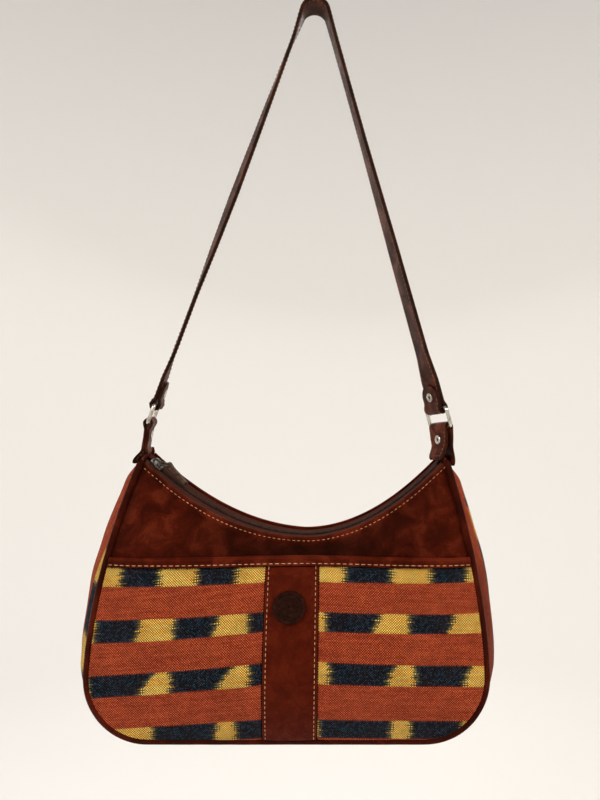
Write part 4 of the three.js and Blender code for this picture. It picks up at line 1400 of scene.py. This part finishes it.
plate = PLATE_SIDE + [(x, -y) for x, y in reversed(PLATE_SIDE)]
web = [(-WEB_END, -WEB_HALF), (WEB_END, -WEB_HALF), (WEB_END, WEB_HALF), (-WEB_END, WEB_HALF)]
blocks = [
    prism(plate, *PLATE_OVER_SPAN),
    prism(plate, *PLATE_UNDER_SPAN),
    prism(web, *WEB_SPAN),
    prism(BRIDGE_OVER + BRIDGE_UNDER, -BRIDGE_HALF, BRIDGE_HALF, upright=True),
]
corners = []
faces = []
for block_corners, block_faces in blocks:
    faces += [tuple(len(corners) + k for k in face) for face in block_faces]
    corners += block_corners
mesh = bpy.data.meshes.new("zip_slider_body")
mesh.from_pydata(from_slider(corners).tolist(), [], faces)
mesh.materials.append(SLIDER_METAL)
slider = bpy.data.objects.new("zip_slider_body", mesh)
bpy.context.scene.collection.objects.link(slider)
soften = slider.modifiers.new("soften", "BEVEL")
soften.width = SLIDER_SOFT
soften.segments = 3
soften.limit_method = "ANGLE"
soften.angle_limit = math.radians(SLIDER_SOFT_ANGLE)
evaluated = slider.evaluated_get(bpy.context.evaluated_depsgraph_get())
plain = bpy.data.meshes.new_from_object(evaluated)
slider.modifiers.clear()
slider.data = plain
slider.data.shade_smooth()
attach(slider, "bag")
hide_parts("zip_slider")


def loop_path(centre, across, along, half_across, half_along, corner, steps):
    """A closed rounded rectangle along two directions, with two directions across it at each point."""
    path = []
    radial = []
    for quarter in range(4):
        middle = (quarter + 0.5) * math.pi / 2
        right = math.copysign(1, math.cos(middle))
        high = math.copysign(1, math.sin(middle))
        at = centre + right * (half_across - corner) * across + high * (half_along - corner) * along
        for angle in (quarter + np.linspace(0, 1, steps)) * math.pi / 2:
            radial.append(math.cos(angle) * across + math.sin(angle) * along)
            path.append(at + corner * radial[-1])
    flat = np.broadcast_to(np.cross(across, along), (len(path), 3))
    return np.array(path), np.array(radial), flat


def tilted(degrees):
    return np.array([math.cos(math.radians(degrees)), 0, math.sin(math.radians(degrees))])


hinge = np.array([HINGE_X, 0, HINGE_Z])
loop_along = tilted(LOOP_LIFT)
loop_middle = hinge + loop_along * LOOP_LENGTH / 2
loop = loop_path(loop_middle, TO_BACK, loop_along, LOOP_HALF, LOOP_LENGTH / 2, LOOP_CORNER, steps=7)
rings = from_slider(tube_rings(*loop, LOOP_WIRE_R, sides=12))
pull_loop = ring_piece("zip_pull_wire", rings, SLIDER_METAL, closed=True)
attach(pull_loop, "zip_pull")
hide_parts("zip_pull_loop")


FOLD_STEPS = 15


def strip_section(thickness, crown=0.00012, groove=0.0):
    """The outline of a flat leather band with soft edges, as shares of half the width and distances out. A
    band of two layers has a groove between them along its edges."""
    half = thickness / 2
    flat = [(share, half + crown * (1 - share**2)) for share in np.linspace(-0.9, 0.9, 9)]
    edge = [(0.975, 0.82 * half), (1.0, 0.45 * half), (1.0 - groove, 0.06 * half)]
    right = edge + [(share, -out) for share, out in reversed(edge)]
    under = [(share, -out) for share, out in reversed(flat)]
    left = [(-share, -out) for share, out in edge] + [(-share, out) for share, out in reversed(edge)]
    return np.array(left[3:] + flat + right + under + left[:3])


def band_frames(at, across):
    """Directions along, out of and across a band at each of its points."""
    along = unit(np.gradient(at, axis=0))
    out = unit(np.cross(along, across))
    return along, out, np.cross(out, along)


def band_rings(at, across, width, section):
    along, out, side = band_frames(at, across)
    wide = section[None, :, 0, None] * (np.reshape(width, (-1, 1)) / 2)[:, :, None] * side[:, None]
    return at[:, None] + wide + section[None, :, 1, None] * out[:, None]


def fold_path(legs, radius, frame_at):
    """A band folded over a bar: up one leg, round the bar and down the other. Each leg is its distances
    from the bar, its distances off the fold's middle plane and its widths."""
    (down_a, off_a, width_a), (down_b, off_b, width_b) = legs
    turn = np.linspace(0, np.pi, FOLD_STEPS)
    down = np.concatenate([down_a[::-1], -radius * np.sin(turn), down_b])
    off = np.concatenate([-off_a[::-1], -radius * np.cos(turn), off_b])
    width = np.concatenate([width_a[::-1], np.ones(FOLD_STEPS), width_b])
    bar, axis, out, across = frame_at(down, off)
    return bar + down[:, None] * axis + off[:, None] * out, across, width


pull_bend = LOOP_WIRE_R + PULL_SLACK + PULL_THICK / 2
pull_straight = np.linspace(*PULL_STRAIGHT, PULL_STRAIGHT_STEPS)
pull_down = np.concatenate([PULL_BEND_DOWN, pull_straight, PULL_LENGTH - np.array(PULL_TIP_UP)])
pull_off = mix(pull_bend, PULL_PINCH, smooth(pull_down, 0.0, PULL_CLOSING))
past_round = np.clip(pull_down - PULL_LENGTH + PULL_END, 0, None)
pull_leg = (pull_down, pull_off, 1 - PULL_END_CURVE * past_round**2)
pull_axis = tilted(-PULL_DROP)
pull_out = np.array([-pull_axis[2], 0, pull_axis[0]])
pull_frame = (hinge + loop_along * LOOP_LENGTH, pull_axis, pull_out, TO_BACK)
at, across, width = fold_path([pull_leg, pull_leg], pull_bend, lambda down, off: pull_frame)
across = np.broadcast_to(across, at.shape)
rings = from_slider(band_rings(at, across, PULL_WIDTH * width, strip_section(PULL_THICK)))
PULL_LEATHER = leather(
    "pull_leather",
    dark=colour(44, 30, 24),
    middle=colour(78, 58, 48),
    light=colour(112, 88, 74),
    pebble=0.0008,
    patch=0.008,
    shine=0.12,
)
tip = smooth(np.linalg.norm(at - hinge, axis=-1), *TIP_REACH)
pull_tab = ring_piece("zip_pull_leather", rings, PULL_LEATHER, shade=TIP_SHADE * tip[:, None])
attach(pull_tab, "zip_pull")
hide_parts("zip_pull_tab")


# Rings
# Two rings of bent nickel wire, one at each top corner. A tab holds the lower bar and the strap pulls at the
# upper one, so a ring lies in line with its leg of the strap and turns with it.
RING_HALF = 0.014
RING_HEIGHT = 0.0155
RING_CORNER = 0.0031
WIRE_R = 0.0015
STRAP = 0.0026
APEX_R = 0.011
APEX_CENTRE = np.array([0, 0, STRAP / 2 - APEX_R])
# Each ring: how far out its lower bar is and how high, and its turn towards the front in degrees.
RINGS = [
    {"name": "left", "sign": -1, "bar": 0.118, "bar_z": -0.336, "turn": -5},
    {"name": "right", "sign": 1, "bar": 0.1175, "bar_z": -0.340, "turn": 22},
]
NICKEL = metal("nickel", dark=colour(150, 142, 130), light=colour(206, 200, 190), roughness=0.2)


def turned(axis, sign, degrees):
    """Directions across and out of a strip along an axis in the bag's middle plane, turned to the front."""
    flat = sign * np.array([axis[2], 0, -axis[0]])
    angle = np.radians(np.asarray(degrees, float))[..., None]
    across = np.cos(angle) * TO_BACK - np.sin(angle) * flat
    return across, np.cos(angle) * flat + np.sin(angle) * TO_BACK


def apex_point(angle):
    """A point on the round top of the strap's loop, at an angle from upright."""
    angle = np.asarray(angle, float)
    return APEX_CENTRE + APEX_R * np.stack([np.sin(angle), 0 * angle, np.cos(angle)], axis=-1)


def leave_angle(point):
    """Where a strap leg from a point leaves the round top of its loop."""
    reach = point - APEX_CENTRE
    steep = math.atan2(-reach[2], abs(reach[0]))
    return math.copysign(steep + math.asin(APEX_R / np.linalg.norm(reach)), reach[0])


ring_ends = []
for row in RINGS:
    low = place(row["sign"] * row["bar"], 0.0, row["bar_z"])
    leave = leave_angle(low)
    axis = unit(apex_point(leave) - low)
    high = low + RING_HEIGHT * axis
    across, out = turned(axis, row["sign"], row["turn"])
    path = loop_path((low + high) / 2, across, axis, RING_HALF, RING_HEIGHT / 2, RING_CORNER, steps=9)
    ring = ring_piece(f"ring_{row['name']}_wire", tube_rings(*path, WIRE_R, sides=16), NICKEL, closed=True)
    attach(ring, "bag")
    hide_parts(f"ring_{row['name']}")
    lie = {"low": low, "high": high, "axis": axis, "across": across, "out": out, "leave": leave}
    ring_ends.append({**row, **lie})


# Tabs
# A doubled leather tab at each top corner, folded round the ring's lower bar and riveted. Its two legs open
# below the rivet to both sides of the bag's corner, and are sewn along their edges and across their feet.
TAB_WIDTH = 0.023
TAB_FOOT_WIDTH = 0.019
TAB = 0.0022
TAB_EYELET = 0.010
TAB_TURNED = 0.032
TAB_FOOT_Z = -0.371
TAB_CORNER = 0.003
TAB_END_GAP = 0.0004
TAB_STEPS = 26
TAB_END_ARC = (0.25, 1)
TAB_END_STEPS = 6
TAB_GROOVE = 0.02
TAB_EDGE_DYE = 0.6
EDGE_DYE_FROM = 0.88
FOLD_START = 0.001
BEND_SLACK = 0.00035
PINCH_LENGTH = 0.006
TAB_STITCH = 0.002
TAB_STITCH_LIFT = 0.00006
# A skip is how many of a band's points have no stitches at an end or beside a bend. A row crosses the tab.
TAB_SEAM_SKIP = 8
TAB_BEND_SKIP = 4
TAB_ROW = 6
TAB_ROW_POINTS = 9
TAB_ROW_END = 0.0038
# Each tab: how far out its foot is, the foot's turn towards the front in degrees, how far apart the middles of
# its layers stand, and how far below the bar it is down to its foot's width. Of each of its legs: how far
# below the bar it opens, its length, and how far it then stands off the middle.
TABS = {
    "left": {
        "foot": 0.122,
        "foot_turn": 4,
        "apart": 0.0025,
        "narrow": 0.012,
        "inner": {"open": 0.0195, "length": 0.0248, "spread": 0.0026},
        "outer": {"open": 0.0215, "length": 0.034, "spread": 0.0052},
    },
    "right": {
        "foot": 0.120,
        "foot_turn": 4,
        "apart": 0.0052,
        "narrow": 0.020,
        "inner": {"open": 0.0130, "length": 0.026, "spread": 0.0064},
        "outer": {"open": 0.0140, "length": 0.0305, "spread": 0.0068},
    },
}
TAB_LEATHER = leather(
    "tab_leather",
    dark=colour(38, 12, 6),
    middle=colour(68, 24, 12),
    light=colour(102, 44, 24),
    roughness=0.46,
    pebble=0.0009,
    patch=0.012,
    shine=0.1,
)
STRAP_THREAD = thread_material("strap_thread", dark=colour(92, 62, 44), light=colour(140, 102, 74))


def rounded_end(down, length, corner, width):
    """The share of a band's width near its end, whose corners are round."""
    near = np.clip(corner - (length - down), 0, corner)
    return 1 - 2 * (corner - np.sqrt(np.clip(corner**2 - near**2, 0, None))) / width


rivets = []
tab_lines = []
for end in ring_ends:
    cut = TABS[end["name"]]
    low = end["low"]
    foot = place(end["sign"] * cut["foot"], 0.0, TAB_FOOT_Z)
    lean = low - foot
    lean = unit(lean - (lean @ end["across"]) * end["across"])
    tab_out = end["sign"] * np.cross(end["across"], lean)
    straight = unit(low - foot)
    foot_across, foot_out = turned(straight, end["sign"], cut["foot_turn"])

    def tab_frame(down, off):
        """Where the tab's bar is, and the directions along, out of and across the tab: its outer leg turns
        to the bag's corner below the rivet."""
        share = np.where(off > 0, smooth(down, cut["outer"]["open"], TAB_TURNED), 0)[:, None]
        along = -unit(mix(lean, straight, share))
        return low, along, unit(mix(tab_out, foot_out, share)), unit(mix(end["across"], foot_across, share))

    pinch = cut["apart"] / 2
    tab_bend = WIRE_R + BEND_SLACK + TAB / 2
    legs = []
    for leg in (cut["inner"], cut["outer"]):
        round_off = np.sin(np.linspace(*TAB_END_ARC, TAB_END_STEPS) * np.pi / 2)
        down = np.linspace(FOLD_START, leg["length"] - TAB_CORNER, TAB_STEPS)
        down = np.concatenate([down, leg["length"] - TAB_CORNER * (1 - round_off)])
        off = mix(tab_bend, pinch, smooth(down, 0.0, PINCH_LENGTH))
        off = off + (leg["spread"] - pinch) * smooth(down, leg["open"], leg["length"] - TAB_CORNER / 2)
        taper = mix(1.0, TAB_FOOT_WIDTH / TAB_WIDTH, smooth(down, PINCH_LENGTH, cut["narrow"]))
        rounding = rounded_end(down, leg["length"] + TAB_END_GAP, TAB_CORNER, TAB_FOOT_WIDTH)
        legs.append((down, off, taper * rounding))
    at, across, width = fold_path(legs, tab_bend, tab_frame)
    section = strip_section(TAB, groove=TAB_GROOVE)
    rings = band_rings(at, across, TAB_WIDTH * width, section)
    edge_dye = TAB_EDGE_DYE * smooth(np.abs(strip_section(TAB)[:, 0]), EDGE_DYE_FROM, 1.0)
    tab = ring_piece(f"tab_{end['name']}_leather", rings, TAB_LEATHER, shade=edge_dye[None, :])
    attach(tab, "bag")
    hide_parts(f"tab_{end['name']}")
    rivet_at = low - TAB_EYELET * lean
    rivets.append((f"tab_eyelet_{end['name']}", rivet_at, tab_out, pinch + TAB / 2))

    # Stitches down both edges of the tab's two legs, and across each leg above its foot.
    along, out, side = band_frames(at, across)
    face_points = at + (TAB / 2 + TAB_STITCH_LIFT) * out
    inner_count = len(legs[0][0])
    outer_start = inner_count + FOLD_STEPS
    inner_leg = slice(TAB_SEAM_SKIP, inner_count - TAB_BEND_SKIP)
    outer_leg = slice(outer_start + TAB_BEND_SKIP, len(at) - TAB_SEAM_SKIP)
    for leg in (inner_leg, outer_leg):
        for edge in (-1, 1):
            reach = edge * (TAB_WIDTH * width[leg] / 2 - TAB_STITCH)[:, None]
            tab_lines.append((face_points[leg] + reach * side[leg], out[leg]))
    for k in (TAB_ROW, len(at) - 1 - TAB_ROW):
        row = np.linspace(-1, 1, TAB_ROW_POINTS)[:, None] * (TAB_FOOT_WIDTH / 2 - TAB_ROW_END) * side[k]
        tab_lines.append((face_points[k] + row, np.broadcast_to(out[k], row.shape)))

tab_stitches = run_tree(
    "tab_stitching",
    SEWN_LINE,
    tab_lines,
    {"Pitch": 0.0034, "Stitch": 0.0026, "Thread Radius": 0.00026, "Seed": 5, "Material": STRAP_THREAD},
)
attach(tab_stitches, "bag")


# Strap
# Two layers of dark leather, sewn together along both edges. The strap bends round at the top of its loop,
# turns on its way down each leg and folds round the rings' upper bars, where a rivet holds its inner flap.
STRAP_WIDTH = 0.022
FLAP = 0.020
FLAP_ROUND = STRAP_WIDTH / 2
FLAP_STEPS = 12
FLAP_ARC = (0.1, 0.985)
FLAP_TIP = 0.0005
MAIN_LENGTH = FLAP + 0.003
MAIN_STEPS = 18
PINCH_GAP = 0.00015
STRAP_EYELET = 0.010
LEG_STEPS = 60
APEX_STEPS = 33
STRAP_CROWN = 0.00025
STRAP_GROOVE = 0.025
STRAP_EDGE_DYE = 0.75
STRAP_STITCH = 0.0023
STRAP_STITCH_LIFT = 0.00008
STRAP_SEAM_SKIP = 14
BEND_SEAM_SKIP = 6
# Turns towards the front in degrees, at equal steps up each leg.
LEG_TURNS = {
    "left": [-14, -13, -20, -24, -21, -17, -12],
    "right": [11, 9, 7, 3, -1, -2, -2],
}
STRAP_LEATHER = leather(
    "strap_leather",
    dark=colour(32, 13, 8),
    middle=colour(56, 22, 13),
    light=colour(92, 42, 26),
    roughness=0.46,
    pebble=0.0009,
    patch=0.018,
    shine=0.14,
)

strap_pinch = STRAP / 2 + PINCH_GAP
strap_bend = WIRE_R + BEND_SLACK + STRAP / 2
flap_end = FLAP - FLAP_ROUND * (1 - np.sin(np.linspace(*FLAP_ARC, FLAP_STEPS) * np.pi / 2))
flap_down = np.concatenate([np.linspace(FOLD_START, FLAP - FLAP_ROUND, FLAP_STEPS), flap_end])
flap_round = np.clip((flap_down - (FLAP - FLAP_ROUND)) / FLAP_ROUND, 0, 1)
flap_width = np.sqrt(np.clip(1 - flap_round**2, FLAP_TIP, 1))
main_down = np.linspace(FOLD_START, MAIN_LENGTH, MAIN_STEPS)
halves = []
for down, share in ((flap_down, flap_width), (main_down, np.ones_like(main_down))):
    halves.append((down, mix(strap_bend, strap_pinch, smooth(down, 0.0, PINCH_LENGTH)), share))
leg_share = np.linspace(0, 1, LEG_STEPS + 2)[1:-1]
strap_parts = []
for end in ring_ends:
    fold_frame = (end["high"], end["axis"], end["out"], end["across"])
    at, across, width = fold_path(halves, strap_bend, lambda down, off: fold_frame)
    across = np.broadcast_to(across, at.shape)
    leg_turns = LEG_TURNS[end["name"]]
    knots = np.concatenate([[0], (np.arange(len(leg_turns)) + 0.5) / len(leg_turns), [1]])
    turns = np.interp(leg_share, knots, [end["turn"], *leg_turns, 0])
    leg_at = mix(at[-1], apex_point(end["leave"]), leg_share[:, None])
    strap_parts.append(
        {
            "at": np.concatenate([at, leg_at]),
            "across": np.concatenate([across, turned(end["axis"], end["sign"], turns)[0]]),
            "width": np.concatenate([width, np.ones(LEG_STEPS)]),
        }
    )
    rivet_at = end["high"] + STRAP_EYELET * end["axis"]
    rivets.append((f"strap_eyelet_{end['name']}", rivet_at, end["out"], strap_pinch + STRAP / 2))

left, right = strap_parts
top = apex_point(np.linspace(ring_ends[0]["leave"], ring_ends[1]["leave"], APEX_STEPS))
at = np.concatenate([left["at"], top, right["at"][::-1]])
across = np.concatenate([left["across"], np.broadcast_to(TO_BACK, top.shape), right["across"][::-1]])
width = STRAP_WIDTH * np.concatenate([left["width"], np.ones(APEX_STEPS), right["width"][::-1]])
section = strip_section(STRAP, crown=STRAP_CROWN, groove=STRAP_GROOVE)
rings = band_rings(at, across, width, section)
edge_dye = STRAP_EDGE_DYE * smooth(np.abs(section[:, 0]), EDGE_DYE_FROM, 1.0)
strap = ring_piece("strap_leather", rings, STRAP_LEATHER, shade=edge_dye[None, :])
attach(strap, "bag")
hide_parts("strap")

# Stitches along both edges: all along the outer face, and on the inner face where no flap covers it.
along, out, side = band_frames(at, across)
open_start = len(flap_down) + FOLD_STEPS + BEND_SEAM_SKIP
outer_part = slice(STRAP_SEAM_SKIP, len(at) - STRAP_SEAM_SKIP)
open_part = slice(open_start, len(at) - open_start)
strap_lines = []
for face, part in ((1, outer_part), (-1, open_part)):
    for edge in (-1, 1):
        lift = face * (STRAP / 2 + STRAP_STITCH_LIFT) * out
        lie = at + lift + edge * (width / 2 - STRAP_STITCH)[:, None] * side
        strap_lines.append((lie[part], face * out[part]))
strap_stitches = run_tree(
    "strap_stitching",
    SEWN_LINE,
    strap_lines,
    {"Pitch": 0.0036, "Stitch": 0.0027, "Thread Radius": 0.00026, "Seed": 4, "Material": STRAP_THREAD},
)
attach(strap_stitches, "bag")


# Rivets
# Four tubular nickel rivets, one through the two layers of each tab and of each strap end. Both flanges of a
# rivet are rolled over on the leather, and its barrel stays open.
EYELET_STAND = 0.0003
EYELET_SIDES = 32
EYELET_ASLANT = [0.3, 0.2, 1.0]
# Rows run from a rivet's open barrel over its rolled flange to the leather: distance from the rivet's
# middle line, and height above the leather.
EYELET_PROFILE = [
    {"out": 0.00135, "rise": 0.0},
    {"out": 0.0014, "rise": 0.00045},
    {"out": 0.0018, "rise": 0.00078},
    {"out": 0.0025, "rise": 0.00085},
    {"out": 0.0032, "rise": 0.00068},
    {"out": 0.0037, "rise": 0.00032},
    {"out": 0.0038, "rise": 0.00008},
    {"out": 0.0034, "rise": 0.0},
    {"out": 0.0020, "rise": 0.0},
]

for name, rivet_at, axis, half_grip in rivets:
    grip = half_grip + EYELET_STAND
    half_profile = [(row["out"], grip + row["rise"]) for row in EYELET_PROFILE]
    profile = np.array(half_profile + [(out, -rise) for out, rise in reversed(half_profile)])
    first = unit(np.cross(axis, EYELET_ASLANT))
    second = np.cross(axis, first)
    angle = np.arange(EYELET_SIDES)[:, None, None] * 2 * np.pi / EYELET_SIDES
    radial = np.cos(angle) * first + np.sin(angle) * second
    rings = rivet_at + profile[None, :, 0, None] * radial + profile[None, :, 1, None] * axis
    rivet = ring_piece(f"{name}_rivet", rings, NICKEL, closed=True)
    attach(rivet, "bag")
    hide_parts(name)


# Camera, light and floor
# The camera stands level in front of the bag, as in the photograph. The floor is a round pale sweep that
# rises to a wall all round, with a cool soft light on the left and a warm one on the right.
CAMERA_AT = (-0.012, -0.489, -0.318)
CAMERA_LENS = 27.18
CAMERA_SENSOR = 36
FLOOR_Z = -1.3
FLOOR_R = 1.9
FLOOR_RINGS = [0.001, 0.6, 1.2]
FLOOR_SIDES = 96
SWEEP_R = 1.1
SWEEP_STEPS = 24
WALL_TOP = 2.4
ROOM_TINT = (0.95, 0.96, 1.0, 1.0)
ROOM_STRENGTH = 0.35

camera = bpy.data.objects.new("camera", bpy.data.cameras.new("camera"))
camera.data.lens = CAMERA_LENS
camera.data.sensor_width = CAMERA_SENSOR
camera.data.clip_start = 0.01
camera.location = CAMERA_AT
camera.rotation_euler = (math.radians(90), 0, 0)
bpy.context.scene.collection.objects.link(camera)
bpy.context.scene.camera = camera

bend = np.linspace(0, np.pi / 2, SWEEP_STEPS)
profile_r = np.concatenate([FLOOR_RINGS, FLOOR_R + SWEEP_R * np.sin(bend), [FLOOR_R + SWEEP_R]])
profile_z = np.concatenate(
    [np.full(len(FLOOR_RINGS), FLOOR_Z), FLOOR_Z + SWEEP_R * (1 - np.cos(bend)), [WALL_TOP]]
)
turn = np.linspace(0, 2 * np.pi, FLOOR_SIDES + 1)[:-1, None]
round_x, round_y = profile_r * np.cos(turn), profile_r * np.sin(turn)
sweep = np.stack(np.broadcast_arrays(round_x, round_y, profile_z), axis=-1)
index = np.arange(sweep.shape[0] * sweep.shape[1]).reshape(sweep.shape[:2])
ahead = np.roll(index, -1, axis=0)
quads = np.stack([index[:, :-1], ahead[:, :-1], ahead[:, 1:], index[:, 1:]], axis=-1).reshape(-1, 4)
mesh = bpy.data.meshes.new("floor")
mesh.from_pydata(sweep.reshape(-1, 3).tolist(), [], quads.tolist())
mesh.shade_smooth()
floor = bpy.data.objects.new("floor", mesh)
bpy.context.scene.collection.objects.link(floor)
paper = new_material("pale_paper", {"Base Color": colour(240, 237, 233), "Roughness": 0.95})[0]
mesh.materials.append(paper)


def soft_light(name, at, aim, size, power, tint):
    lamp = bpy.data.lights.new(name, "AREA")
    lamp.shape = "DISK"
    lamp.size = size
    lamp.energy = power
    lamp.color = tint
    made = bpy.data.objects.new(name, lamp)
    made.location = at
    made.rotation_euler = (Vector(aim) - Vector(at)).to_track_quat("-Z", "Y").to_euler()
    bpy.context.scene.collection.objects.link(made)


soft_light(
    "cool_window", at=(-1.5, -1.5, 0.9), aim=(0, 0, -0.4), size=1.2, power=42, tint=(0.91, 0.95, 1.0)
)
soft_light("warm_lamp", at=(1.5, -0.8, 1.0), aim=(0, 0, -0.4), size=0.5, power=30, tint=(1.0, 0.91, 0.78))
soft_light("back_fill", at=(0.2, 1.8, 1.2), aim=(0, 0.4, -0.5), size=1.4, power=20, tint=(1.0, 0.99, 0.97))
world = bpy.data.worlds.new("room")
bpy.context.scene.world = world
world.use_nodes = True
world.node_tree.nodes["Background"].inputs["Color"].default_value = ROOM_TINT
world.node_tree.nodes["Background"].inputs["Strength"].default_value = ROOM_STRENGTH
